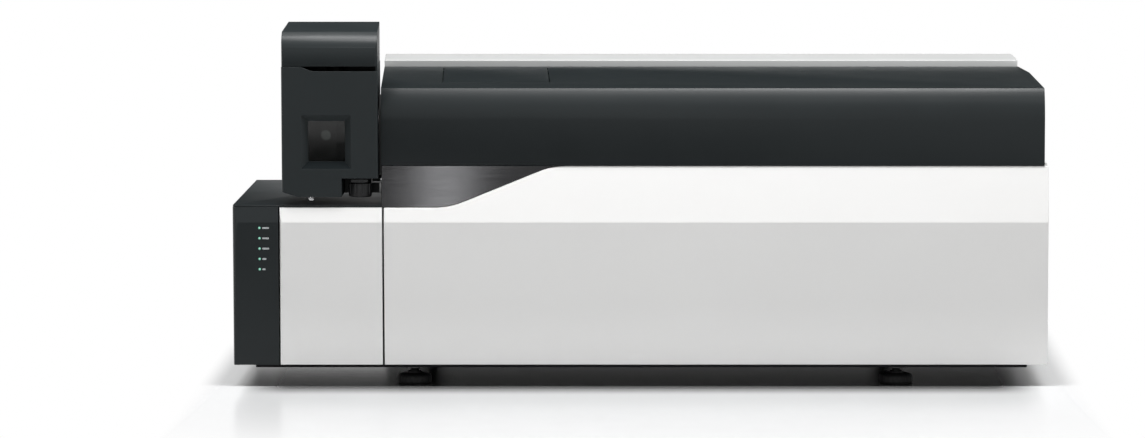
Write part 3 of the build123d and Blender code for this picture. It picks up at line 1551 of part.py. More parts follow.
with BuildPart() as divert_valve:
    with BuildSketch(front_plane(bracket_depth)):
        with Locations((valve_x, valve_z)):
            RectangleRounded(2 * valve_radius + 8, 2 * valve_radius + 8, 6)
    extrude(amount=valve_length / 2)
    with BuildSketch(front_plane(bracket_depth - valve_length / 2)):
        with Locations((valve_x, valve_z)):
            Circle(valve_radius)
    extrude(amount=valve_length / 2)
    chamfer(divert_valve.edges().group_by(Axis.Y)[0], 2)
    with BuildSketch(front_plane(bracket_depth - valve_length)):
        with Locations((valve_x, valve_z)):
            with PolarLocations(valve_port_circle, 6):
                Circle(valve_port_radius)
    extrude(amount=valve_port_length)
divert_valve.part.label = "divert_valve"
export_step(divert_valve.part, "parts/divert_valve.step")

# ---------------------------------------------------------------- ion source housing
window_left_x = left_x + 93.6
window_right_x = left_x + 160.7
window_bottom = 295.6
window_top = 368.5
glass_left_x = left_x + 102.4
glass_right_x = left_x + 152.0
glass_bottom = 305.0
glass_top = 359.8
bezel_depth = 9.0
glass_seat_depth = 10.0
glass_thick = 3.0
glass_margin = 3.0
frame_depth = glass_seat_depth + glass_thick
chamber_radius = 44.0
chamber_wall = 4.0
chamber_left_x = left_x + 80.0
chamber_right_x = left_x + 194.0
slot_left_x = left_x + 93.0
slot_left_low_x = left_x + 109.0
slot_bottom = 427.1
source_corner = 4.0
source_width = source_right_x - source_left_x
knob_x = left_x + 171.2
knob_depth = 25.0
knob_radius = 15.5
knob_bottom = 256.1
knob_top = 274.4
knob_stem_radius = 5.0
exhaust_radius = 10.0
exhaust_bore = 7.5
exhaust_z = 331.0
exhaust_x = left_x + 118.0
exhaust_length = 8.0
hinge_radius = 5.0
hinge_pin_radius = 2.5
hinge_knuckle = 14.0
hinge_gap = 0.4
hinge_zs = (285.0, 356.0)
hinge_leaf_thick = 4.0
hinge_leaf_width = 34.0
lid_pivot_depth = source_depth + 4.5
lid_pivot_z = 436.5
lid_pivot_radius = 3.6
lid_pin_radius = 1.8
lid_knuckle = 12.0
lid_knuckle_gap = 0.4
lid_hinge_xs = (left_x + 88.0, left_x + 148.0)
window_mid_x = (window_left_x + window_right_x) / 2
window_mid_z = (window_bottom + window_top) / 2
glass_mid_x = (glass_left_x + glass_right_x) / 2
glass_mid_z = (glass_bottom + glass_top) / 2
chamber_y = ion_y


def source_plan(inset):
    """Plan corners of the ion source, moved in by inset."""
    return (
        (source_left_x + inset, at_depth(inset)),
        (source_right_x - inset, at_depth(inset)),
        (source_right_rear_x - inset, at_depth(source_depth - inset)),
        (source_left_x + inset, at_depth(source_depth - inset)),
    )


with BuildPart() as source_housing:
    with BuildSketch(Plane.XY.offset(source_bottom)) as housing_plan:
        Polygon(*source_plan(0), align=NONE2)
        front_corners = housing_plan.vertices().group_by(Axis.Y)[0]
        fillet(front_corners, source_corner)
    extrude(amount=source_seam - source_bottom)
    with BuildSketch(front_plane(0)):
        Polygon(
            (source_left_x, source_bottom),
            (source_left_x, source_bottom + source_chamfer_z),
            (source_left_x + source_chamfer_x, source_bottom),
            align=NONE2,
        )
    extrude(amount=-source_depth, mode=Mode.SUBTRACT)
    with BuildSketch(Plane.XY.offset(source_bottom + panel)):
        Polygon(*source_plan(panel), align=NONE2)
    hollow = extrude(amount=source_seam - source_bottom, mode=Mode.PRIVATE)
    with BuildSketch(front_plane(0)):
        Polygon(
            (source_left_x, source_seam),
            (source_left_x, source_bottom + source_chamfer_z + panel),
            (source_left_x + source_chamfer_x, source_bottom + panel),
            (notch_left_x - panel, source_bottom + panel),
            (notch_left_x - panel, notch_top + panel),
            (source_right_x, notch_top + panel),
            (source_right_x, source_seam),
            align=NONE2,
        )
    near = extrude(amount=-(notch_depth + panel), mode=Mode.PRIVATE)
    with BuildSketch(front_plane(notch_depth + panel)):
        Polygon(
            (source_left_x, source_seam),
            (source_left_x, source_bottom + source_chamfer_z + panel),
            (source_left_x + source_chamfer_x, source_bottom + panel),
            (source_right_x, source_bottom + panel),
            (source_right_x, source_seam),
            align=NONE2,
        )
    far = extrude(amount=-(source_depth - notch_depth), mode=Mode.PRIVATE)
    add(hollow & near, mode=Mode.SUBTRACT)
    add(hollow & far, mode=Mode.SUBTRACT)
    with BuildSketch(front_plane(0)):
        Polygon(
            (notch_left_x, source_bottom),
            (notch_left_x, notch_top),
            (source_right_x, notch_top),
            (source_right_x, source_bottom),
            align=NONE2,
        )
    extrude(amount=-notch_depth, mode=Mode.SUBTRACT)
    with BuildSketch(Plane.XY.offset(notch_top)):
        with Locations((knob_x, at_depth(knob_depth))):
            Circle(knob_stem_radius + run_fit)
    extrude(amount=panel, mode=Mode.SUBTRACT)
    with BuildSketch(front_plane(panel)):
        with Locations((glass_mid_x, glass_mid_z)):
            Rectangle(
                glass_right_x - glass_left_x + 2 * glass_margin + 8,
                glass_top - glass_bottom + 2 * glass_margin + 8,
            )
    extrude(amount=-(frame_depth - panel))
    with BuildSketch(front_plane(0)):
        with Locations((window_mid_x, window_mid_z)):
            Rectangle(window_right_x - window_left_x, window_top - window_bottom)
    with BuildSketch(front_plane(bezel_depth)):
        with Locations((glass_mid_x, glass_mid_z)):
            Rectangle(glass_right_x - glass_left_x, glass_top - glass_bottom)
    loft(mode=Mode.SUBTRACT)
    with BuildSketch(front_plane(bezel_depth)):
        with Locations((glass_mid_x, glass_mid_z)):
            Rectangle(glass_right_x - glass_left_x, glass_top - glass_bottom)
    extrude(amount=-(frame_depth - bezel_depth), mode=Mode.SUBTRACT)
    with BuildSketch(front_plane(glass_seat_depth)):
        with Locations((glass_mid_x, glass_mid_z)):
            Rectangle(
                glass_right_x - glass_left_x + 2 * glass_margin,
                glass_top - glass_bottom + 2 * glass_margin,
            )
    extrude(amount=-glass_thick, mode=Mode.SUBTRACT)
    with BuildSketch(front_plane(0)):
        Polygon(
            (slot_left_x, source_seam),
            (slot_left_low_x, slot_bottom),
            (source_right_x, slot_bottom),
            (source_right_x, source_seam),
            align=NONE2,
        )
    extrude(amount=-panel - 2, mode=Mode.SUBTRACT)
    with BuildSketch(Plane.YZ.offset(source_right_rear_x - panel)):
        with Locations((ion_y, ion_z)):
            Circle(flange_hole)
    extrude(amount=panel * 3, mode=Mode.SUBTRACT)
    with BuildSketch(front_plane(source_depth - panel)):
        with Locations((exhaust_x, exhaust_z)):
            Circle(exhaust_radius + seam)
    extrude(amount=-panel, mode=Mode.SUBTRACT)
    for z in hinge_zs:
        with BuildSketch(Plane.XY.offset(z)):
            with Locations((swing_x, swing_y)):
                Circle(hinge_radius)
            with Locations((swing_x - hinge_leaf_width / 2, at_depth(source_depth + 2))):
                Rectangle(hinge_leaf_width, hinge_leaf_thick)
            with Locations((swing_x, swing_y)):
                Circle(hinge_pin_radius + run_fit, mode=Mode.SUBTRACT)
        extrude(amount=hinge_knuckle)
    for x in lid_hinge_xs:
        with BuildSketch(Plane.YZ.offset(x)):
            Polygon(
                (at_depth(source_depth - panel), source_seam - 16),
                (at_depth(source_depth), source_seam - 16),
                (at_depth(lid_pivot_depth + lid_pivot_radius), lid_pivot_z),
                (at_depth(lid_pivot_depth - lid_pivot_radius + 0.3), lid_pivot_z),
                (at_depth(source_depth + 0.5), source_seam),
                (at_depth(source_depth - panel), source_seam),
                align=NONE2,
            )
            with Locations((at_depth(lid_pivot_depth), lid_pivot_z)):
                Circle(lid_pivot_radius)
        extrude(amount=lid_knuckle)
        with BuildSketch(Plane.YZ.offset(x + lid_knuckle)):
            with Locations((at_depth(lid_pivot_depth), lid_pivot_z)):
                Circle(lid_pin_radius)
        extrude(amount=lid_knuckle_gap + lid_knuckle)
source_housing.part.label = "source_housing"
export_step(source_housing.part, "parts/source_housing.step")

with BuildPart() as source_window:
    with BuildSketch(front_plane(glass_seat_depth)):
        with Locations((glass_mid_x, glass_mid_z)):
            Rectangle(
                glass_right_x - glass_left_x + 2 * glass_margin - 2 * seat,
                glass_top - glass_bottom + 2 * glass_margin - 2 * seat,
            )
    extrude(amount=-glass_thick)
source_window.part.label = "source_window"
export_step(source_window.part, "parts/source_window.step")

probe_x = left_x + 135.0
probe_boss_radius = 18.0
probe_radius = 13.0
probe_bore = probe_radius + 0.2
probe_shoulder_z = 400.0
probe_tip_z = 312.0

with BuildPart() as source_chamber:
    with BuildSketch(Plane.YZ.offset(chamber_left_x)):
        with Locations((chamber_y, ion_z)):
            Circle(chamber_radius)
    extrude(amount=chamber_right_x - chamber_left_x)
    with BuildSketch(front_plane(frame_depth)):
        with Locations((glass_mid_x, glass_mid_z)):
            Rectangle(
                glass_right_x - glass_left_x + 2 * chamber_wall,
                glass_top - glass_bottom + 2 * chamber_wall,
            )
    extrude(amount=-(ion_depth - frame_depth))
    with BuildSketch(Plane.XY.offset(ion_z)):
        with Locations((probe_x, chamber_y)):
            Circle(probe_boss_radius)
    extrude(amount=probe_shoulder_z - ion_z)
    with BuildSketch(Plane.XY.offset(source_bottom + panel)):
        with Locations((probe_x, chamber_y)):
            Circle(exhaust_radius)
    extrude(amount=ion_z - source_bottom - panel)
    with BuildSketch(front_plane(ion_depth)):
        with Locations((exhaust_x, exhaust_z)):
            Circle(exhaust_radius)
    extrude(amount=-(source_depth + exhaust_length - ion_depth))
    with BuildSketch(Plane.YZ.offset(chamber_left_x + chamber_wall)):
        with Locations((chamber_y, ion_z)):
            Circle(chamber_radius - chamber_wall)
    extrude(amount=chamber_right_x - chamber_left_x, mode=Mode.SUBTRACT)
    with BuildSketch(front_plane(frame_depth)):
        with Locations((glass_mid_x, glass_mid_z)):
            Rectangle(glass_right_x - glass_left_x, glass_top - glass_bottom)
    extrude(amount=-(ion_depth - frame_depth), mode=Mode.SUBTRACT)
    with BuildSketch(Plane.XY.offset(ion_z)):
        with Locations((probe_x, chamber_y)):
            Circle(probe_bore)
    extrude(amount=probe_shoulder_z - ion_z, mode=Mode.SUBTRACT)
    with BuildSketch(front_plane(ion_depth)):
        with Locations((exhaust_x, exhaust_z)):
            Circle(exhaust_bore)
    extrude(amount=-(source_depth + exhaust_length - ion_depth), mode=Mode.SUBTRACT)
source_chamber.part.label = "source_chamber"
export_step(source_chamber.part, "parts/source_chamber.step")

# ---------------------------------------------------------------- spray probe
probe_nut_radius = 19.0
probe_nut_height = 14.0
probe_cap_radius = 12.0
probe_cap_top = 458.0
probe_inlet_radius = 4.5
probe_inlet_top = 468.0
probe_inlet_bore = 0.8
capillary_radius = 1.2
capillary_root_z = 348.0
probe_cone_z = 366.0
gas_elbow_z = 444.0
gas_elbow_length = 26.0

with BuildPart() as spray_probe:
    with BuildSketch(Plane.XZ.offset(-chamber_y)):
        with BuildLine():
            Polyline(
                (probe_x, probe_tip_z),
                (probe_x + capillary_radius, probe_tip_z),
                (probe_x + capillary_radius, capillary_root_z),
                (probe_x + 5, probe_cone_z - 8),
                (probe_x + probe_radius, probe_cone_z),
                (probe_x + probe_radius, probe_shoulder_z),
                (probe_x + probe_nut_radius, probe_shoulder_z),
                (probe_x + probe_nut_radius, probe_shoulder_z + probe_nut_height),
                (probe_x + probe_cap_radius, probe_shoulder_z + probe_nut_height + 4),
                (probe_x + probe_cap_radius, probe_cap_top),
                (probe_x + probe_inlet_radius, probe_cap_top),
                (probe_x + probe_inlet_radius, probe_inlet_top),
                (probe_x, probe_inlet_top),
                close=True,
            )
        make_face()
    revolve(axis=Axis((probe_x, chamber_y, 0), (0, 0, 1)), revolution_arc=360)
    with BuildSketch(Plane.YZ.offset(probe_x)):
        with Locations((chamber_y, gas_elbow_z)):
            Circle(probe_inlet_radius)
    extrude(amount=gas_elbow_length)
    with BuildSketch(Plane.XY.offset(probe_inlet_top)):
        with Locations((probe_x, chamber_y)):
            Circle(probe_inlet_bore)
    extrude(amount=-12, mode=Mode.SUBTRACT)
spray_probe.part.label = "spray_probe"
export_step(spray_probe.part, "parts/spray_probe.step")

# ---------------------------------------------------------------- ion source lid
lid_bottom = source_seam + seam

with BuildPart() as source_lid:
    with BuildSketch(Plane.XY.offset(lid_bottom)) as lid_plan:
        Polygon(*source_plan(0.5), align=NONE2)
        fillet(lid_plan.vertices().group_by(Axis.Y)[0], source_corner)
    extrude(amount=lid_rear_z - lid_bottom)
    with BuildSketch(Plane.YZ.offset(source_left_x)):
        with BuildLine():
            lid_start, lid_end = lid_points(0)
            Polyline(
                lid_start,
                (lid_start[0], lid_bottom),
                (at_depth(source_depth), lid_bottom),
                (at_depth(source_depth), lid_rear_z),
                lid_end,
            )
            TangentArc(lid_start, lid_end, tangent=(0, 1))
        make_face()
    extrude(amount=source_width, mode=Mode.INTERSECT)
    with BuildSketch(Plane.XY.offset(lid_bottom)):
        Polygon(*source_plan(panel), align=NONE2)
    lid_hollow = extrude(amount=lid_rear_z - lid_bottom, mode=Mode.PRIVATE)
    with BuildSketch(Plane.YZ.offset(source_left_x)):
        with BuildLine():
            lid_start, lid_end = lid_points(panel)
            Polyline(
                lid_start,
                (lid_start[0], lid_bottom),
                (at_depth(source_depth - panel), lid_bottom),
                (at_depth(source_depth - panel), lid_rear_z - panel),
                lid_end,
            )
            TangentArc(lid_start, lid_end, tangent=(0, 1))
        make_face()
    lid_side = extrude(amount=source_width, mode=Mode.PRIVATE)
    add(lid_hollow & lid_side, mode=Mode.SUBTRACT)
    for x in lid_hinge_xs:
        with BuildSketch(Plane.YZ.offset(x + lid_knuckle + lid_knuckle_gap)):
            with Locations((at_depth(lid_pivot_depth), lid_pivot_z)):
                Circle(lid_pivot_radius)
            Polygon(
                (at_depth(source_depth - 1), lid_pivot_z),
                (at_depth(lid_pivot_depth + lid_pivot_radius - 0.2), lid_pivot_z),
                (at_depth(source_depth - 1), lid_pivot_z + 14),
                align=NONE2,
            )
            with Locations((at_depth(lid_pivot_depth), lid_pivot_z)):
                Circle(lid_pin_radius + run_fit, mode=Mode.SUBTRACT)
        extrude(amount=lid_knuckle)
source_lid.part.label = "source_lid"
export_step(source_lid.part, "parts/source_lid.step")

# ---------------------------------------------------------------- lock knob and keeper
cam_bottom = 277.1
cam_top = 280.9
cam_inner = 18.6
cam_outer = 22.6
cam_rest_angle = -90.0  # the cam points forwards, clear of the keeper, until it is turned
cam_half_angle = 30.0
cam_web_angle = 18.0
knob_flute_count = 10
knob_flute_radius = 2.0
knob_clip_radius = 7.5
keeper_front = knob_depth
keeper_length = 6.0
keeper_lip_x = left_x + 186.0
keeper_lip_thick = 1.6
keeper_arm_z = 275.0
keeper_arm_thick = 1.6
keeper_base_z = 262.0
keeper_base_x = left_x + 197.6
keeper_top = 280.8

with BuildPart() as lock_knob:
    with BuildSketch(Plane.XY.offset(knob_bottom)):
        with Locations((knob_x, at_depth(knob_depth))):
            Circle(knob_radius)
    extrude(amount=knob_top - knob_bottom)
    fillet(lock_knob.edges().group_by(Axis.Z)[0], 2.5)
    with BuildSketch(Plane.XY.offset(knob_bottom + 5)):
        with Locations((knob_x, at_depth(knob_depth))):
            with PolarLocations(knob_radius + 0.8, knob_flute_count):
                Circle(knob_flute_radius)
    extrude(amount=knob_top - knob_bottom, mode=Mode.SUBTRACT)
    with BuildSketch(Plane.XY.offset(knob_top)):
        with Locations((knob_x, at_depth(knob_depth))):
            Circle(knob_stem_radius + 2)
    extrude(amount=notch_top - seat - knob_top)
    with BuildSketch(Plane.XY.offset(knob_top)):
        with Locations((knob_x, at_depth(knob_depth))):
            Circle(knob_stem_radius)
    extrude(amount=notch_top + panel + seat + 1.5 - knob_top)
    with BuildSketch(Plane.XY.offset(notch_top + panel + seat)):
        with Locations((knob_x, at_depth(knob_depth))):
            Circle(knob_clip_radius)
    extrude(amount=1.5)
    with BuildSketch(Plane.XY.offset(cam_bottom)):
        with BuildLine(Plane((knob_x, at_depth(knob_depth), 0))):
            low = radians(cam_rest_angle - cam_half_angle)
            middle = radians(cam_rest_angle)
            high = radians(cam_rest_angle + cam_half_angle)
            web = low + radians(cam_web_angle)
            bend = (high + web) / 2
            start = (cam_outer * cos(low), cam_outer * sin(low))
            finish = (cam_outer * cos(high), cam_outer * sin(high))
            tip = (cam_inner * cos(high), cam_inner * sin(high))
            elbow = (cam_inner * cos(web), cam_inner * sin(web))
            ThreePointArc(start, (cam_outer * cos(middle), cam_outer * sin(middle)), finish)
            Line(finish, tip)
            ThreePointArc(tip, (cam_inner * cos(bend), cam_inner * sin(bend)), elbow)
            Line(elbow, (knob_stem_radius * cos(web), knob_stem_radius * sin(web)))
            Line(
                (knob_stem_radius * cos(web), knob_stem_radius * sin(web)),
                (knob_stem_radius * cos(low), knob_stem_radius * sin(low)),
            )
            Line((knob_stem_radius * cos(low), knob_stem_radius * sin(low)), start)
        make_face()
    extrude(amount=cam_top - cam_bottom)
lock_knob.part.label = "lock_knob"
export_step(lock_knob.part, "parts/lock_knob.step")

with BuildPart() as source_keeper:
    with BuildSketch(front_plane(keeper_front)):
        Polygon(
            (end_front_x, keeper_base_z),
            (keeper_base_x, keeper_base_z),
            (keeper_base_x, keeper_arm_z),
            (keeper_lip_x, keeper_arm_z),
            (keeper_lip_x, keeper_top),
            (keeper_lip_x + keeper_lip_thick, keeper_top),
            (keeper_lip_x + keeper_lip_thick, keeper_arm_z + keeper_arm_thick),
            (end_front_x, keeper_arm_z + keeper_arm_thick),
            align=NONE2,
        )
    extrude(amount=-keeper_length)
    with BuildSketch(front_plane(wall_front)):
        Polygon(
            (end_front_x + panel, keeper_base_z),
            (keeper_base_x, keeper_base_z),
            (keeper_base_x, keeper_arm_z),
            (end_front_x + panel, keeper_arm_z),
            align=NONE2,
        )
    extrude(amount=-(keeper_front + keeper_length + 6 - wall_front))
    with BuildSketch(end_plane):
        with Locations((60, keeper_arm_z)):
            Rectangle(200, 60)
    extrude(amount=20, mode=Mode.SUBTRACT)
source_keeper.part.label = "source_keeper"
export_step(source_keeper.part, "parts/source_keeper.step")

# ---------------------------------------------------------------- source hinge
leaf_thick = 2.4
leaf_start = swing_depth
leaf_end = 172.0

with BuildPart() as source_hinge:
    for z in hinge_zs:
        fixed_z = z - hinge_gap - hinge_knuckle
        with BuildSketch(Plane.XY.offset(fixed_z)):
            with Locations((swing_x, swing_y)):
                Circle(hinge_radius)
            Polygon(
                (swing_x, swing_y),
                (end_x(leaf_start), at_depth(leaf_start)),
                (end_x(leaf_end), at_depth(leaf_end)),
                (end_x(leaf_end) - leaf_thick, at_depth(leaf_end)),
                (end_x(leaf_start) - leaf_thick, at_depth(leaf_start) + hinge_radius),
                align=NONE2,
            )
        extrude(amount=hinge_knuckle)
        with BuildSketch(Plane.XY.offset(fixed_z)):
            with Locations((swing_x, swing_y)):
                Circle(hinge_pin_radius)
        extrude(amount=2 * hinge_knuckle + hinge_gap)
source_hinge.part.label = "source_hinge"
export_step(source_hinge.part, "parts/source_hinge.step")

# ---------------------------------------------------------------- fasteners
rest_screw_x = left_x + 106.3
rest_screw_depth = 12.0
rest_screw_radius = 4.0
rest_screw_bottom = 252.0
lid_bolt_count = 9
lid_bolt_flats = 10.0
lid_bolt_height = 3.0
panel_screw_radius = 3.6
panel_screw_height = 2.0

with BuildPart() as rest_screw:
    with BuildSketch(Plane.XY.offset(rest_screw_bottom)):
        with Locations((rest_screw_x, at_depth(rest_screw_depth))):
            Circle(rest_screw_radius)
    extrude(amount=source_bottom - rest_screw_bottom)
    chamfer(rest_screw.edges().group_by(Axis.Z)[0], 0.6)
rest_screw.part.label = "rest_screw"
export_step(rest_screw.part, "parts/rest_screw.step")

panel_screw_xs = (
    left_x + 200.0,
    left_x + 360.0,
    left_x + 580.0,
    right_x - 310.0,
    right_x - 150.0,
    right_x - 30.0,
)
panel_screw_spots = [(x, z) for x in panel_screw_xs for z in (pan_top + 14.4, cover_bottom - 14.4)]

with BuildPart() as fasteners:
    with BuildSketch(front_plane(rear_face)):
        with Locations(*panel_screw_spots):
            Circle(panel_screw_radius)
    extrude(amount=-panel_screw_height)
    with BuildSketch(Plane.XY.offset(manifold_top + manifold_lid_thick)):
        with Locations((manifold_mid_x, manifold_mid_y)):
            with GridLocations(
                (manifold_length - manifold_wall) / (lid_bolt_count - 1),
                manifold_width - manifold_wall,
                lid_bolt_count,
                2,
            ):
                RegularPolygon(lid_bolt_flats / 2, 6, major_radius=False)
    extrude(amount=lid_bolt_height)
fasteners.part.label = "fasteners"
export_step(fasteners.part, "parts/fasteners.step")
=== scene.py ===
import bmesh
import bpy
from math import cos, pi, radians, sin
from mathutils import Matrix, Vector


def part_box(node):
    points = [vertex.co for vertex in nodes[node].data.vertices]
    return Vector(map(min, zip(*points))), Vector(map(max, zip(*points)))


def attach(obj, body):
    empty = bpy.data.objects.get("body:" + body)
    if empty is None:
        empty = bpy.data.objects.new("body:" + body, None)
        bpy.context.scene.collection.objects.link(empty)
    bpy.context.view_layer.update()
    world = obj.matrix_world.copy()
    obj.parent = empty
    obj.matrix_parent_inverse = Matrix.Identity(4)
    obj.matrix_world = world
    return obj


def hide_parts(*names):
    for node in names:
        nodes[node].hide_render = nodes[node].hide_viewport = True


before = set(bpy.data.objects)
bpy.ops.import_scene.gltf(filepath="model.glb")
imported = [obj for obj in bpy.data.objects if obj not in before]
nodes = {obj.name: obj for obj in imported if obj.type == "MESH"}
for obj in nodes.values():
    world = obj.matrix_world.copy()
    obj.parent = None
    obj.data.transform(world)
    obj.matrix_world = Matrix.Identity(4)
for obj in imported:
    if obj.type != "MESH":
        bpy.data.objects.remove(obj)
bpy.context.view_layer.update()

# ---------------------------------------------------------------- studio
# A long-lens camera looks down from a little right of the instrument's middle. A wide softbox hangs
# overhead, a narrow strip lamp gives the name plate its sheen, and two black cards keep stray light
# off glossy faces. A shadow is painted into the pale floor under and close around the instrument,
# and the floor turns white further out.
scene = bpy.context.scene
scene.view_settings.view_transform = "Standard"

camera_data = bpy.data.cameras.new("camera")
camera_data.lens = 156.9
camera_data.sensor_width = 36.0
camera_data.shift_x = -0.1044
camera_data.clip_end = 60.0
camera = bpy.data.objects.new("camera", camera_data)
camera.location = (0.0695, -6.9819, 0.8956)
camera_look_down = 5.699
camera.rotation_euler = (radians(90 - camera_look_down), 0, 0)
scene.collection.objects.link(camera)
scene.camera = camera

front_y = -0.2925


def at_depth(millimetres):
    """Y of a plane this many millimetres behind the instrument's front."""
    return front_y + millimetres / 1000


def softbox(name, place, target, width, height, power):
    """Adds a white area lamp of this size in metres and power in watts that faces the target."""
    lamp = bpy.data.lights.new(name, "AREA")
    lamp.shape = "RECTANGLE"
    lamp.size = width
    lamp.size_y = height
    lamp.energy = power
    stand = bpy.data.objects.new(name, lamp)
    stand.location = place
    aim = Vector(target) - Vector(place)
    stand.rotation_euler = aim.to_track_quat("-Z", "Y").to_euler()
    scene.collection.objects.link(stand)


flag_black = bpy.data.materials.new("flag_black")
flag_black.use_nodes = True
flag_shader = flag_black.node_tree.nodes["Principled BSDF"]
flag_shader.inputs["Base Color"].default_value = (0.01, 0.01, 0.01, 1)
flag_shader.inputs["Specular IOR Level"].default_value = 0.0


def flag(name, place, width, height, tilt):
    """Adds a matt black card that only glossy faces see, tilted back by this many degrees."""
    card_mesh = bpy.data.meshes.new(name)
    card_shape = bmesh.new()
    bmesh.ops.create_grid(
        card_shape,
        x_segments=1,
        y_segments=1,
        size=0.5,
        matrix=Matrix.Translation(place) @ Matrix.Rotation(radians(tilt), 4, "X")
        @ Matrix.Diagonal((width, height, 1, 1)),
    )
    card_shape.to_mesh(card_mesh)
    card_shape.free()
    card = bpy.data.objects.new(name, card_mesh)
    scene.collection.objects.link(card)
    card_mesh.materials.append(flag_black)
    card.visible_camera = False
    card.visible_diffuse = False
    card.visible_shadow = False


softbox(
    "overhead_softbox", place=(0.0, -0.8, 3.2), target=(0.0, -0.2, 0.2), width=3.2, height=0.8,
    power=180.0,
)
softbox(
    "plate_strip", place=(-0.52, -5.3, 1.4), target=(-0.25, -0.29, 0.26), width=0.1, height=1.6,
    power=4.6,
)
flag("rear_flag", place=(0.0, 1.6, 1.6), width=4.0, height=2.3, tilt=90)
flag("floor_flag", place=(0.0, -2.6, 0.003), width=4.0, height=3.4, tilt=0)


def ramp(tree, value, low, high, start=0.0, end=1.0, smooth=True):
    """A value that runs from start to end while this one runs from low to high, and stays there."""
    spread = tree.nodes.new("ShaderNodeMapRange")
    spread.interpolation_type = "SMOOTHSTEP" if smooth else "LINEAR"
    spread.inputs["From Min"].default_value = low
    spread.inputs["From Max"].default_value = high
    spread.inputs["To Min"].default_value = start
    spread.inputs["To Max"].default_value = end
    tree.links.new(value, spread.inputs["Value"])
    return spread.outputs["Result"]


def worked_out(tree, operation, *values):
    """The result of this operation on one or two values."""
    maths = tree.nodes.new("ShaderNodeMath")
    maths.operation = operation
    for value, socket in zip(values, maths.inputs):
        tree.links.new(value, socket)
    return maths.outputs["Value"]


world = bpy.data.worlds.new("studio_air")
scene.world = world
world.use_nodes = True
air = world.node_tree
air.nodes.clear()
air_out = air.nodes.new("ShaderNodeOutputWorld")
air_mix = air.nodes.new("ShaderNodeMixShader")
air_light = air.nodes.new("ShaderNodeBackground")
air_light.inputs["Color"].default_value = (0.96, 0.98, 1.0, 1)
air_light.inputs["Strength"].default_value = 0.12
air_white = air.nodes.new("ShaderNodeBackground")
air_white.inputs["Color"].default_value = (1, 1, 1, 1)
air_white.inputs["Strength"].default_value = 1.0
seen_by = air.nodes.new("ShaderNodeLightPath").outputs
air_seen = worked_out(air, "MAXIMUM", seen_by["Is Camera Ray"], seen_by["Is Glossy Ray"])
air_seen_through = worked_out(air, "MAXIMUM", air_seen, seen_by["Is Transmission Ray"])
air.links.new(air_seen_through, air_mix.inputs[0])
air.links.new(air_light.outputs[0], air_mix.inputs[1])
air.links.new(air_white.outputs[0], air_mix.inputs[2])
air.links.new(air_mix.outputs[0], air_out.inputs["Surface"])

floor_mesh = bpy.data.meshes.new("studio_floor")
floor_shape = bmesh.new()
bmesh.ops.create_grid(floor_shape, x_segments=1, y_segments=1, size=14.0)
floor_shape.to_mesh(floor_mesh)
floor_shape.free()
floor = bpy.data.objects.new("studio_floor", floor_mesh)
scene.collection.objects.link(floor)

floor_paint = bpy.data.materials.new("studio_floor")
floor_paint.use_nodes = True
tree = floor_paint.node_tree
tree.nodes.clear()
floor_out = tree.nodes.new("ShaderNodeOutputMaterial")
floor_shine = tree.nodes.new("ShaderNodeBsdfPrincipled")
floor_shine.inputs["Roughness"].default_value = 0.22
floor_shine.inputs["Specular IOR Level"].default_value = 0.35
floor_white = tree.nodes.new("ShaderNodeEmission")
floor_white.inputs["Strength"].default_value = 1.0
floor_fade = tree.nodes.new("ShaderNodeMixShader")
floor_place = tree.nodes.new("ShaderNodeTexCoord")
floor_oval = (1.05, 0.85)
floor_stretch = tree.nodes.new("ShaderNodeMapping")
floor_stretch.inputs["Scale"].default_value = (1 / floor_oval[0], 1 / floor_oval[1], 1)
floor_reach = tree.nodes.new("ShaderNodeVectorMath")
floor_reach.operation = "LENGTH"
floor_sides = tree.nodes.new("ShaderNodeSeparateXYZ")
tree.links.new(floor_place.outputs["Object"], floor_stretch.inputs["Vector"])
tree.links.new(floor_stretch.outputs["Vector"], floor_reach.inputs[0])
tree.links.new(floor_place.outputs["Object"], floor_sides.inputs["Vector"])
floor_aside = worked_out(tree, "ABSOLUTE", floor_sides.outputs["X"])
floor_depth = worked_out(tree, "ABSOLUTE", floor_sides.outputs["Y"])

white_from, white_full = 0.62, 1.25
ends_white_from, ends_white_full = 0.566, 0.604
floor_far = ramp(tree, floor_reach.outputs["Value"], white_from, white_full)
floor_ends = ramp(tree, floor_aside, ends_white_from, ends_white_full)
tree.links.new(worked_out(tree, "MAXIMUM", floor_far, floor_ends), floor_fade.inputs[0])
tree.links.new(floor_shine.outputs[0], floor_fade.inputs[1])
tree.links.new(floor_white.outputs[0], floor_fade.inputs[2])
tree.links.new(floor_fade.outputs[0], floor_out.inputs["Surface"])

# Painted shadow: under the instrument and a little in front of and behind it, the floor's colour is
# mixed towards dark grey.
shade_depth_from, shade_depth_full = 0.38, 0.285
shade_side_from, shade_side_full = 0.55, 0.47
floor_near = ramp(tree, floor_depth, shade_depth_from, shade_depth_full)
floor_middle = ramp(tree, floor_aside, shade_side_from, shade_side_full)
painted_shadow_tone = tree.nodes.new("ShaderNodeMix")
painted_shadow_tone.data_type = "RGBA"
painted_shadow_tone.inputs["A"].default_value = (0.64, 0.645, 0.65, 1)
painted_shadow_tone.inputs["B"].default_value = (0.10, 0.10, 0.10, 1)
painted_shadow_mask = worked_out(tree, "MULTIPLY", floor_near, floor_middle)
tree.links.new(painted_shadow_mask, painted_shadow_tone.inputs["Factor"])
tree.links.new(painted_shadow_tone.outputs["Result"], floor_shine.inputs["Base Color"])
floor_mesh.materials.append(floor_paint)
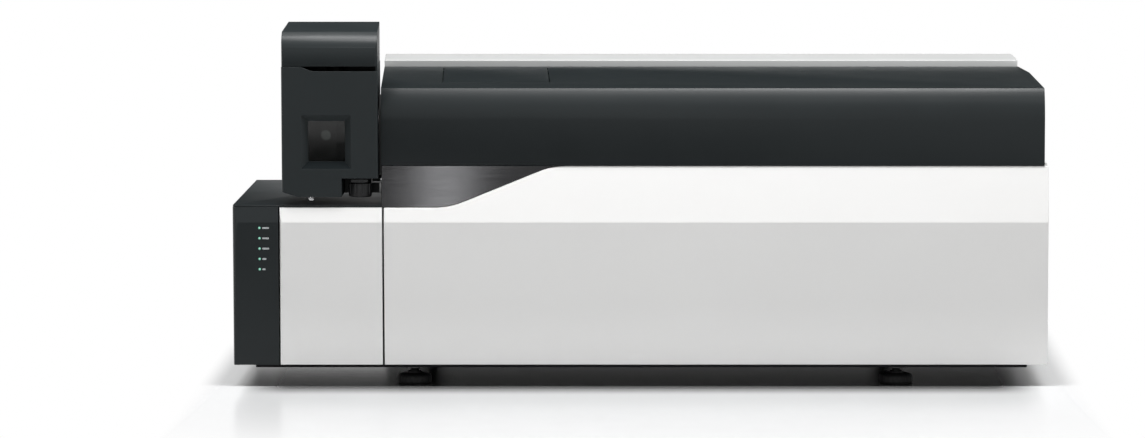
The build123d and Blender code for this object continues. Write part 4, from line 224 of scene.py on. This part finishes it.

# ---------------------------------------------------------------- white front and sides
# The front, the service door and the right side are steel pressings, powder-coated in a warm white
# with a faint orange peel. Every outer edge is folded to a small round. Below the fold that crosses
# the front and the door, shade is painted into their coat, and painted bounce light lightens it
# again towards the floor.


def finish_of(name, colour, roughness, metallic=0.0, specular=0.5, mottle=0.04, mottle_size=0.05,
              peel=0.15, peel_size=0.0012, peel_depth=0.00004, stretch=(1, 1, 1)):
    """A painted, moulded or metal finish: mottled colour and gloss, with a fine relief."""
    material = bpy.data.materials.new(name)
    material.use_nodes = True
    tree = material.node_tree
    shader = tree.nodes["Principled BSDF"]
    shader.inputs["Metallic"].default_value = metallic
    shader.inputs["Specular IOR Level"].default_value = specular
    place = tree.nodes.new("ShaderNodeTexCoord")
    turn = tree.nodes.new("ShaderNodeMapping")
    turn.inputs["Scale"].default_value = stretch
    tree.links.new(place.outputs["Object"], turn.inputs["Vector"])

    cloud = tree.nodes.new("ShaderNodeTexNoise")
    cloud.inputs["Scale"].default_value = 1 / mottle_size
    cloud.inputs["Detail"].default_value = 4.0
    tree.links.new(turn.outputs["Vector"], cloud.inputs["Vector"])
    tint = tree.nodes.new("ShaderNodeMix")
    tint.data_type = "RGBA"
    tint.inputs["A"].default_value = (*[c * (1 - mottle) for c in colour], 1)
    tint.inputs["B"].default_value = (*[min(1.0, c * (1 + mottle)) for c in colour], 1)
    tree.links.new(cloud.outputs["Fac"], tint.inputs["Factor"])
    tree.links.new(tint.outputs["Result"], shader.inputs["Base Color"])

    gloss_spread = 0.05
    smoothest = max(0.02, roughness - gloss_spread)
    roughest = min(1.0, roughness + gloss_spread)
    gloss = ramp(tree, cloud.outputs["Fac"], 0.0, 1.0, smoothest, roughest, smooth=False)
    tree.links.new(gloss, shader.inputs["Roughness"])

    grain = tree.nodes.new("ShaderNodeTexNoise")
    grain.inputs["Scale"].default_value = 1 / peel_size
    grain.inputs["Detail"].default_value = 3.0
    tree.links.new(turn.outputs["Vector"], grain.inputs["Vector"])
    relief = tree.nodes.new("ShaderNodeBump")
    relief.inputs["Strength"].default_value = peel
    relief.inputs["Distance"].default_value = peel_depth
    tree.links.new(grain.outputs["Fac"], relief.inputs["Height"])
    tree.links.new(relief.outputs["Normal"], shader.inputs["Normal"])
    return material


weld_distance = 0.00001
flat_angle = radians(0.4)
fold_angle = radians(0.5)
sharp_angle = radians(28)
broad_area = 0.001


def rounded(node, body, material, width=0.0006, folded=False):
    """The node's own shape as one closed mesh with its sharp edges rounded, in the node's place.

    With folded, broad flat faces are shaded flat, and the shallow fold between two of them stays
    crisp.
    """
    shape = bmesh.new()
    shape.from_mesh(nodes[node].data)
    bmesh.ops.remove_doubles(shape, verts=shape.verts, dist=weld_distance)
    bmesh.ops.dissolve_limit(
        shape, angle_limit=flat_angle, verts=shape.verts, edges=shape.edges
    )
    for face in shape.faces:
        face.smooth = True
    if folded:
        for edge in shape.edges:
            broad = min(face.calc_area() for face in edge.link_faces) > broad_area
            edge.smooth = not (broad and edge.calc_face_angle() > fold_angle)
    mesh = bpy.data.meshes.new(node + "_finished")
    shape.to_mesh(mesh)
    shape.free()
    mesh.materials.append(material)
    piece = bpy.data.objects.new(node + "_finished", mesh)
    scene.collection.objects.link(piece)
    soften = piece.modifiers.new("rounded_edges", "BEVEL")
    soften.width = width
    soften.segments = 3
    soften.limit_method = "ANGLE"
    soften.angle_limit = sharp_angle
    soften.use_clamp_overlap = True
    soften.harden_normals = True
    if folded:
        flats = piece.modifiers.new("flat_faces", "WEIGHTED_NORMAL")
        flats.keep_sharp = True
    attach(piece, body)
    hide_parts(node)
    return piece


def dressed(node, material):
    """Gives the CAD node itself this finish."""
    mesh = nodes[node].data
    if not mesh.materials:
        mesh.materials.append(material)
    for spot in nodes[node].material_slots:
        spot.material = material


white_paint = finish_of(
    "white_powder_coat", (0.80, 0.795, 0.785), 0.34, specular=0.45, mottle=0.008, mottle_size=0.12,
    peel=0.25, peel_size=0.0016, peel_depth=0.00003,
)
front_paint_with_painted_light = finish_of(
    "white_powder_coat_front", (0.87, 0.865, 0.855), 0.34, specular=0.45, mottle=0.008,
    mottle_size=0.12, peel=0.25, peel_size=0.0016, peel_depth=0.00003,
)
# Painted shade: below the fold the coat's colour is scaled down to 0.88, and painted bounce light
# scales it up to 1.16 between 0.12 m and 0.02 m above the floor.
fold_low, fold_high, painted_shade_factor = 0.2215, 0.2250, 0.88
painted_bounce_from, painted_bounce_full, painted_bounce_gain = 0.12, 0.02, 1.16
tree = front_paint_with_painted_light.node_tree
height = tree.nodes.new("ShaderNodeSeparateXYZ")
tree.links.new(tree.nodes["Texture Coordinate"].outputs["Object"], height.inputs["Vector"])
painted_fold_shade = ramp(tree, height.outputs["Z"], fold_low, fold_high, start=painted_shade_factor, smooth=False)
painted_floor_bounce = ramp(tree, height.outputs["Z"], painted_bounce_from, painted_bounce_full, start=1.0, end=painted_bounce_gain)
painted_light_tone = tree.nodes.new("ShaderNodeVectorMath")
painted_light_tone.operation = "SCALE"
tree.links.new(tree.nodes["Mix"].outputs["Result"], painted_light_tone.inputs["Vector"])
tree.links.new(worked_out(tree, "MULTIPLY", painted_fold_shade, painted_floor_bounce), painted_light_tone.inputs["Scale"])
tree.links.new(painted_light_tone.outputs["Vector"], tree.nodes["Principled BSDF"].inputs["Base Color"])
rounded("front_panel", "instrument", front_paint_with_painted_light, width=0.0009, folded=True)
rounded("service_door", "service_door", front_paint_with_painted_light, width=0.0009, folded=True)
rounded("right_panel", "instrument", white_paint, width=0.0006)

# ---------------------------------------------------------------- dark covers
# The upper cover with its hatch, the deck under the ion source and the left corner are moulded in
# charcoal plastic. The mould's fine spark texture keeps them satin, and their edges are soft.
charcoal = finish_of(
    "charcoal_plastic", (0.0100, 0.0132, 0.0143), 0.38, specular=0.25, mottle=0.06,
    mottle_size=0.08, peel=0.35, peel_size=0.0007, peel_depth=0.00003,
)
rounded("upper_cover", "instrument", charcoal, width=0.0007)
rounded("hatch_lid", "hatch_lid", charcoal, width=0.0006)
rounded("source_deck", "instrument", charcoal, width=0.0007)
rounded("corner_cover", "instrument", charcoal, width=0.0008, folded=True)

# ---------------------------------------------------------------- name plate
# The plate between the white front and the upper cover is bare rolled metal, brushed along its
# length and anodised dark. It carries no printing.
brushed_dark = finish_of(
    "brushed_dark_anodising", (0.032, 0.032, 0.033), 0.065, metallic=1.0, mottle=0.10,
    mottle_size=0.0011, peel=0.3, peel_size=0.0006, peel_depth=0.00004, stretch=(0.01, 1, 1),
)
rounded("name_plate", "instrument", brushed_dark, width=0.0003, folded=True)

# ---------------------------------------------------------------- light grey covers
# The rear top cover and the back are folded sheet, coated in a light cool grey. The cabinet's end
# wall behind the ion source is charcoal like the dark covers.
grey_paint = finish_of(
    "light_grey_coat", (0.56, 0.565, 0.56), 0.38, specular=0.45, mottle=0.012, mottle_size=0.1,
    peel=0.25, peel_size=0.0014, peel_depth=0.00003,
)
rounded("rear_cover", "instrument", grey_paint, width=0.0006)
rounded("left_wall", "instrument", charcoal, width=0.0005)
rounded("rear_panel", "instrument", grey_paint, width=0.0004)

# ---------------------------------------------------------------- ion source
# The source's shell and its lid are charcoal mouldings a shade bluer than the covers. A thick dark
# window sits in a chamfered frame, whose lower chamfer is matt and darkened with painted shade.
source_plastic = finish_of(
    "source_plastic", (0.0128, 0.0168, 0.0180), 0.40, specular=0.26, mottle=0.05,
    mottle_size=0.05, peel=0.35, peel_size=0.0007, peel_depth=0.00003,
)
source_shell = rounded(
    "source_housing", "ion_source", source_plastic, width=0.0006, folded=True
)
# Painted shade: a darker copy of the source plastic with almost no reflection, laid on the window's
# lower chamfer below.
matt_painted_shade_plastic = finish_of(
    "matt_source_plastic", (0.0085, 0.0110, 0.0120), 0.8, specular=0.02, mottle=0.05,
    mottle_size=0.05, peel=0.35, peel_size=0.0007, peel_depth=0.00003,
)
source_shell.data.materials.append(matt_painted_shade_plastic)
sill_low, sill_high = 0.29, 0.31
for face in source_shell.data.polygons:
    at_sill = sill_low < face.center.z < sill_high
    slopes_forward = 0.3 < face.normal.z < 0.95 and face.normal.y < -0.2
    if at_sill and slopes_forward:
        face.material_index = 1
rounded("source_lid", "source_lid", source_plastic, width=0.0007)

# ---------------------------------------------------------------- window and spray chamber
# A thick smoked window closes the front of the hard-anodised spray chamber. Behind it hang the
# steel needle of the spray probe, anodised at its top, and the blackened sampling cone.
smoked_glass = finish_of(
    "smoked_glass", (0.028, 0.032, 0.030), 0.06, specular=0.5, mottle=0.03, mottle_size=0.02,
    peel=0.02, peel_size=0.004, peel_depth=0.00001,
)
smoked_glass.node_tree.nodes["Principled BSDF"].inputs["Transmission Weight"].default_value = 0.9
smoked_glass.node_tree.nodes["Principled BSDF"].inputs["IOR"].default_value = 1.49
rounded("source_window", "ion_source", smoked_glass, width=0.0008, folded=True)

machined = finish_of(
    "machined_aluminium", (0.60, 0.61, 0.63), 0.30, metallic=1.0, mottle=0.05, mottle_size=0.004,
    peel=0.35, peel_size=0.0005, peel_depth=0.00002, stretch=(0.06, 1, 1),
)
stainless = finish_of(
    "stainless_steel", (0.50, 0.50, 0.51), 0.24, metallic=1.0, mottle=0.06, mottle_size=0.003,
    peel=0.25, peel_size=0.0004, peel_depth=0.00001, stretch=(1, 1, 0.08),
)
polished = finish_of(
    "polished_steel", (0.66, 0.66, 0.67), 0.12, metallic=1.0, mottle=0.03, mottle_size=0.006,
    peel=0.12, peel_size=0.0006, peel_depth=0.00001,
)
hard_anodised = finish_of(
    "hard_anodised_aluminium", (0.022, 0.023, 0.022), 0.5, specular=0.2, mottle=0.08,
    mottle_size=0.006, peel=0.3, peel_size=0.0005, peel_depth=0.00002,
)
worn_steel = finish_of(
    "blackened_steel", (0.16, 0.16, 0.16), 0.35, metallic=1.0, mottle=0.12, mottle_size=0.004,
    peel=0.3, peel_size=0.0006, peel_depth=0.00001,
)
rounded("source_chamber", "ion_source", hard_anodised, width=0.0005)
probe = rounded("spray_probe", "ion_source", stainless, width=0.0003)
probe.data.materials.append(hard_anodised)
probe_cap_bottom = 0.36
for face in probe.data.polygons:
    if face.center.z > probe_cap_bottom:
        face.material_index = 1
rounded("sampling_cone", "instrument", worn_steel, width=0.0003)
rounded("interface_flange", "instrument", worn_steel, width=0.0006)

# ---------------------------------------------------------------- lock knob and keeper
# A fluted knob under the source turns a cam into the keeper on the cabinet's end wall. The source
# hangs on two steel hinges behind, and a bright screw props it above the deck. A thin black seal
# stands on the end wall beside it.
black_moulding = finish_of(
    "black_plastic", (0.013, 0.0135, 0.014), 0.46, specular=0.35, mottle=0.08, mottle_size=0.02,
    peel=0.3, peel_size=0.0006, peel_depth=0.00002,
)
rounded("lock_knob", "lock_knob", black_moulding, width=0.0004)
rounded("source_keeper", "instrument", worn_steel, width=0.0002)
rounded("source_hinge", "instrument", stainless, width=0.0004)


def round_line(_angle):
    """A circle."""
    return 1.0


def hexagon(angle):
    """A hexagon, measured across its flats."""
    return 1 / cos((angle + pi / 6) % (pi / 3) - pi / 6)


def add_turned(shape, profile, matrix, steps=48):
    """Adds a closed turned solid from (radius, height, outline) rings, placed by this matrix."""
    rings = []
    for radius, height, outline in profile:
        angles = [2 * pi * step / steps for step in range(steps)]
        spots = [
            Vector((radius * outline(a) * cos(a), radius * outline(a) * sin(a), height))
            for a in angles
        ]
        rings.append([shape.verts.new(matrix @ spot) for spot in spots])
    for low, high in zip(rings, rings[1:]):
        for step in range(steps):
            after = (step + 1) % steps
            shape.faces.new((low[step], low[after], high[after], high[step]))
    shape.faces.new(rings[0][::-1])
    shape.faces.new(rings[-1])


def new_piece(name, shape, material, body, sharp=34):
    """The finished object for this shape, smooth but for edges sharper than this many degrees."""
    bmesh.ops.recalc_face_normals(shape, faces=shape.faces)
    mesh = bpy.data.meshes.new(name)
    shape.to_mesh(mesh)
    shape.free()
    mesh.shade_smooth()
    mesh.set_sharp_from_angle(angle=radians(sharp))
    mesh.materials.append(material)
    piece = bpy.data.objects.new(name, mesh)
    scene.collection.objects.link(piece)
    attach(piece, body)
    return piece


def add_block(shape, middle, size, lean=0.0):
    """Adds a block of this size, leaning by this many degrees about X, and gives its corners."""
    place = Matrix.Translation(middle) @ Matrix.Rotation(radians(lean), 4, "X")
    made = bmesh.ops.create_cube(shape, size=1.0, matrix=place @ Matrix.Diagonal((*size, 1)))
    return made["verts"]


def round_edges(shape, edges, width, segments):
    """Rounds these edges of the shape."""
    bmesh.ops.bevel(
        shape,
        geom=edges,
        offset=width,
        offset_type="OFFSET",
        segments=segments,
        profile=0.5,
        affect="EDGES",
        material=-1,
    )


facing_front = Matrix.Rotation(radians(90), 4, "X")
facing_back = Matrix.Rotation(radians(-90), 4, "X")

seal = bmesh.new()
seal_left_x, seal_right_x = -0.3522, -0.3496
seal_low, seal_high = 0.286, 0.395
seal_front, seal_back = at_depth(14), at_depth(22)
add_block(
    seal,
    (
        (seal_left_x + seal_right_x) / 2,
        (seal_front + seal_back) / 2,
        (seal_low + seal_high) / 2,
    ),
    (seal_right_x - seal_left_x, seal_back - seal_front, seal_high - seal_low),
)
round_edges(seal, seal.edges[:], width=0.0005, segments=3)
new_piece("cabinet_seal", seal, black_moulding, "instrument")

screw_low, screw_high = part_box("rest_screw")
screw_middle = (screw_low + screw_high) / 2
screw_radius = (screw_high.x - screw_low.x) / 2
screw = bmesh.new()
add_turned(
    screw,
    (
        (screw_radius * 0.72, screw_low.z, round_line),
        (screw_radius * 0.96, screw_low.z + 0.0005, round_line),
        (screw_radius, screw_low.z + 0.0011, round_line),
        (screw_radius, screw_low.z + 0.0030, round_line),
        (screw_radius * 0.93, screw_low.z + 0.0035, round_line),
        (screw_radius * 0.62, screw_low.z + 0.0036, round_line),
        (screw_radius * 0.62, screw_high.z, round_line),
    ),
    Matrix.Translation((screw_middle.x, screw_middle.y, 0)),
)
rest_screw = new_piece("rest_screw_turned", screw, polished, "ion_source")
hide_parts("rest_screw")

# ---------------------------------------------------------------- indicator lamps
# Five small domes glow green in the left corner, each in its own hole. A plain pale bar is printed
# beside each one.
lamp_x = -0.5136
lamp_zs = (0.2158, 0.2018, 0.1878, 0.1738, 0.1598)
crease_height = 0.2233
foot_height = 0.0296
foot_lean = 3.0


def corner_face(z):
    """Y of the corner's front face at this height."""
    return at_depth(foot_lean * (crease_height - z) / (crease_height - foot_height))


lamp_green = finish_of(
    "lit_green_lens", (0.020, 0.115, 0.080), 0.16, mottle=0.05, mottle_size=0.002, peel=0.05,
    peel_size=0.0008, peel_depth=0.00001,
)
lamp_tree = lamp_green.node_tree
lamp_shader = lamp_tree.nodes["Principled BSDF"]
lamp_shader.inputs["Emission Color"].default_value = (0.24, 0.52, 0.40, 1)
lamp_facing = lamp_tree.nodes.new("ShaderNodeLayerWeight")
lamp_facing.inputs["Blend"].default_value = 0.5
lamp_core_glow, lamp_rim_glow = 1.15, 0.06
lamp_glow = ramp(
    lamp_tree, lamp_facing.outputs["Facing"], 0.02, 0.30, lamp_core_glow, lamp_rim_glow,
    smooth=False,
)
lamp_tree.links.new(lamp_glow, lamp_shader.inputs["Emission Strength"])

lamps = bmesh.new()
for z in lamp_zs:
    add_turned(
        lamps,
        (
            (0.00206, -0.0070, round_line),
            (0.00206, -0.0011, round_line),
            (0.00192, -0.0006, round_line),
            (0.00150, -0.0002, round_line),
            (0.00085, -0.00003, round_line),
            (0.00030, 0.0, round_line),
        ),
        Matrix.Translation((lamp_x, corner_face(z), z)) @ facing_front,
        steps=24,
    )
lamp_piece = new_piece("indicator_domes", lamps, lamp_green, "instrument", sharp=60)
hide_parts("indicator_lights")

pale_print = finish_of(
    "pale_print", (0.40, 0.42, 0.43), 0.5, mottle=0.06, mottle_size=0.001, peel=0.1,
    peel_size=0.0004, peel_depth=0.00001,
)
bar_left_x = -0.5098
bar_lengths = (0.0092, 0.0090, 0.0092, 0.0054, 0.0040)
bar_height = 0.0024
bar_thickness = 0.00012
bar_lean = 0.9
bars = bmesh.new()
for z, length in zip(lamp_zs, bar_lengths):
    corners = add_block(
        bars, (bar_left_x + length / 2, corner_face(z), z), (length, bar_thickness, bar_height),
        lean=bar_lean,
    )
    through = [
        edge
        for edge in {edge for corner in corners for edge in corner.link_edges}
        if abs(edge.verts[0].co.y - edge.verts[1].co.y) > 0.0001
    ]
    round_edges(bars, through, width=bar_height * 0.3, segments=3)
new_piece("indicator_bars", bars, pale_print, "instrument")
dressed("indicator_board", black_moulding)

# ---------------------------------------------------------------- pan and feet
# The cabinet stands on a black steel pan. Four levelling feet with gripped rims hang on threaded
# studs, each held by a lock nut. The studs and nuts are plated black.
black_coat = finish_of(
    "black_powder_coat", (0.005, 0.005, 0.0055), 0.7, specular=0.06, mottle=0.08, mottle_size=0.03,
    peel=0.3, peel_size=0.0012, peel_depth=0.00003,
)
rounded("base_pan", "instrument", black_coat, width=0.0005)

foot_rubber = finish_of(
    "moulded_rubber", (0.016, 0.016, 0.017), 0.58, specular=0.3, mottle=0.10, mottle_size=0.008,
    peel=0.4, peel_size=0.0005, peel_depth=0.00003,
)
zinc = finish_of(
    "black_zinc_plate", (0.12, 0.12, 0.12), 0.40, metallic=1.0, mottle=0.10, mottle_size=0.006,
    peel=0.2, peel_size=0.0006, peel_depth=0.00001,
)


def gripped(angle):
    """A round rim with soft finger grips cut into it."""
    return 1 - grip_depth * max(0.0, cos(grip_count * angle)) ** 2


grip_count = 20
grip_depth = 0.035
pad_profile = (
    (0.0205, 0.0, round_line),
    (0.0220, 0.0006, round_line),
    (0.0228, 0.0018, round_line),
    (0.0230, 0.0026, gripped),
    (0.0230, 0.0078, gripped),
    (0.0223, 0.0100, gripped),
    (0.0203, 0.0118, round_line),
    (0.0165, 0.0129, round_line),
    (0.0110, 0.0130, round_line),
    (0.0092, 0.0137, round_line),
    (0.0092, 0.0155, round_line),
    (0.0086, 0.0160, round_line),
    (0.0058, 0.0160, round_line),
)
stud_radius, stud_root, stud_tip = 0.0059, 0.0052, 0.0048
stud_low = 0.0150
thread_low = 0.0160
thread_pitch = 0.0015
thread_short = 0.017
for node in ("foot_front_left", "foot_front_right", "foot_back_left", "foot_back_right"):
    low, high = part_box(node)
    middle = (low + high) / 2
    stand = Matrix.Translation((middle.x, middle.y, 0))
    pad = bmesh.new()
    add_turned(pad, pad_profile, stand, steps=120)
    pad_piece = new_piece(node + "_pad", pad, foot_rubber, node)
    thread = bmesh.new()
    turns = [(stud_radius, stud_low, round_line)]
    for turn in range(int((high.z - thread_short) / thread_pitch)):
        base = thread_low + turn * thread_pitch
        turns.append((stud_radius, base, round_line))
        turns.append((stud_root, base + thread_pitch / 2, round_line))
    turns.append((stud_tip, high.z, round_line))
    add_turned(thread, turns, stand, steps=24)
    stud = new_piece(node + "_stud", thread, zinc, node, sharp=60)
    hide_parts(node)
    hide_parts(node)
rounded("foot_lock_nuts", "instrument", zinc, width=0.0006)

# ---------------------------------------------------------------- fans
# Two fans draw air out through the back. Their frames and blades are black, and a bright wire
# guard covers each of them.
fan_black = finish_of(
    "fan_plastic", (0.016, 0.016, 0.017), 0.36, specular=0.4, mottle=0.06, mottle_size=0.02,
    peel=0.15, peel_size=0.0008, peel_depth=0.00001,
)
rounded("fan_frames", "instrument", fan_black, width=0.0006)
rounded("fan_impeller_1", "fan_1", fan_black, width=0.0003)
rounded("fan_impeller_2", "fan_2", fan_black, width=0.0003)
rounded("fan_guards", "instrument", polished, width=0.0004)

# ---------------------------------------------------------------- rear connections
# The mains inlet with its rocker, the data jacks, the brass gas fittings and the flanged foreline
# pipe all come out through the rear panel.
brass = finish_of(
    "brass", (0.62, 0.43, 0.17), 0.26, metallic=1.0, mottle=0.07, mottle_size=0.004, peel=0.15,
    peel_size=0.0004, peel_depth=0.00001,
)
rounded("power_inlet", "instrument", black_moulding, width=0.0005)
rounded("power_rocker", "power_rocker", fan_black, width=0.0005)
rounded("data_ports", "instrument", black_moulding, width=0.0003)
rounded("gas_ports", "instrument", brass, width=0.0005)
rounded("foreline_pipe", "instrument", stainless, width=0.0006)

rear_face_y = at_depth(582)
blade_xs = (0.438, 0.450, 0.462)
blade_size = (0.0022, 0.0138, 0.0062)
blade_inset, blade_z = 0.0088, 0.085
blades = bmesh.new()
for x in blade_xs:
    add_block(blades, (x, rear_face_y - blade_inset, blade_z), blade_size)
round_edges(blades, blades.edges[:], width=0.0005, segments=2)
new_piece("mains_blades", blades, brass, "instrument")

jack_xs = (-0.053, -0.031, -0.009, 0.013)
contact_count = 8
contact_pitch = 0.00127
contact_size = (0.0006, 0.0110, 0.0005)
contact_inset, contact_z = 0.0058, 0.1002
contact_lean = -12
contacts = bmesh.new()
for x in jack_xs:
    for finger in range(contact_count):
        aside = (finger - (contact_count - 1) / 2) * contact_pitch
        add_block(
            contacts, (x + aside, rear_face_y - contact_inset, contact_z), contact_size,
            lean=contact_lean,
        )
round_edges(contacts, contacts.edges[:], width=0.00012, segments=1)
new_piece("jack_contacts", contacts, brass, "instrument")

# ---------------------------------------------------------------- screws
# Low-headed screws with hexagon sockets hold the rear panel. Hexagon-headed bolts hold down the
# lid of the vacuum manifold.
screw_xs = (-0.350, -0.190, 0.030, 0.240, 0.400, 0.520)
screw_zs = (0.044, 0.285)
heads = bmesh.new()
for x in screw_xs:
    for z in screw_zs:
        add_turned(
            heads,
            (
                (0.00360, 0.0, round_line),
                (0.00360, 0.0010, round_line),
                (0.00335, 0.0016, round_line),
                (0.00270, 0.0020, round_line),
                (0.00150, 0.0020, hexagon),
                (0.00145, 0.0007, hexagon),
            ),
            Matrix.Translation((x, rear_face_y, z)) @ facing_back,
            steps=36,
        )
lid_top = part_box("manifold_lid")[1].z
bolt_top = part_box("fasteners")[1].z
bolt_columns = 9
bolt_first_x = -0.32
bolt_pitch = 0.09
bolt_depths = (38.6, 189.4)
bolt_radius, bolt_face_radius, bolt_chamfer = 0.0038, 0.0034, 0.0006
for column in range(bolt_columns):
    for depth in bolt_depths:
        add_turned(
            heads,
            (
                (bolt_radius, lid_top, hexagon),
                (bolt_radius, bolt_top - bolt_chamfer, hexagon),
                (bolt_face_radius, bolt_top, round_line),
            ),
            Matrix.Translation((bolt_first_x + column * bolt_pitch, at_depth(depth), 0)),
            steps=36,
        )
screws = new_piece("screw_heads", heads, zinc, "instrument")
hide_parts("fasteners")

# ---------------------------------------------------------------- vacuum system
# The manifold, its lid and the pump housings are machined aluminium. The lenses and rods inside
# are bare metal, the rod holders white ceramic, and the rotors turn in the pumps.
ceramic = finish_of(
    "white_ceramic", (0.78, 0.76, 0.70), 0.32, mottle=0.03, mottle_size=0.01, peel=0.1,
    peel_size=0.0006, peel_depth=0.00001,
)
rounded("vacuum_manifold", "instrument", machined, width=0.0008)
rounded("manifold_lid", "instrument", machined, width=0.0010)
for node in (
    "turbo_housing_1", "turbo_housing_2", "turbo_rotor_1", "turbo_rotor_2", "collision_cell",
    "detector",
):
    dressed(node, machined)
for node in ("ion_guide", "lens_plates"):
    dressed(node, stainless)
dressed("quadrupole_rods", polished)
dressed("quadrupole_rings", ceramic)

# ---------------------------------------------------------------- electronics and chassis
# Screened radio-frequency units, a gas block and the supply stand around the manifold on a grey
# steel chassis. The circuit board is green, with a fine grid of lighter tracks.
grey_coat = finish_of(
    "grey_steel_coat", (0.44, 0.45, 0.46), 0.42, specular=0.4, mottle=0.03, mottle_size=0.06,
    peel=0.25, peel_size=0.0012, peel_depth=0.00002,
)
rounded("rf_unit_1", "instrument", machined, width=0.0012)
rounded("rf_unit_2", "instrument", machined, width=0.0012)
rounded("gas_block", "instrument", machined, width=0.0010)
rounded("power_supply", "instrument", grey_coat, width=0.0010)
rounded("chassis", "instrument", grey_coat, width=0.0006)

board_mask = finish_of(
    "solder_mask", (0.015, 0.10, 0.045), 0.30, specular=0.5, mottle=0.08, mottle_size=0.01,
    peel=0.1, peel_size=0.0005, peel_depth=0.00001,
)
board_tree = board_mask.node_tree
board_tint = next(node for node in board_tree.nodes if node.bl_idname == "ShaderNodeMix")
board_lines = board_tree.nodes.new("ShaderNodeTexBrick")
board_lines.inputs["Scale"].default_value = 60.0
board_lines.inputs["Mortar Size"].default_value = 0.035
board_lines.inputs["Color1"].default_value = (0.015, 0.10, 0.045, 1)
board_lines.inputs["Color2"].default_value = (0.018, 0.12, 0.055, 1)
board_lines.inputs["Mortar"].default_value = (0.05, 0.22, 0.11, 1)
board_place = board_tree.nodes.new("ShaderNodeTexCoord")
board_tree.links.new(board_place.outputs["Object"], board_lines.inputs["Vector"])
board_tree.links.new(board_lines.outputs["Color"], board_tint.inputs["A"])
dressed("main_board", board_mask)

# ---------------------------------------------------------------- service compartment
# Behind the service door a grey steel bracket carries the valve that diverts the sample flow.
rounded("valve_bracket", "instrument", grey_coat, width=0.0004)
rounded("divert_valve", "instrument", stainless, width=0.0005)
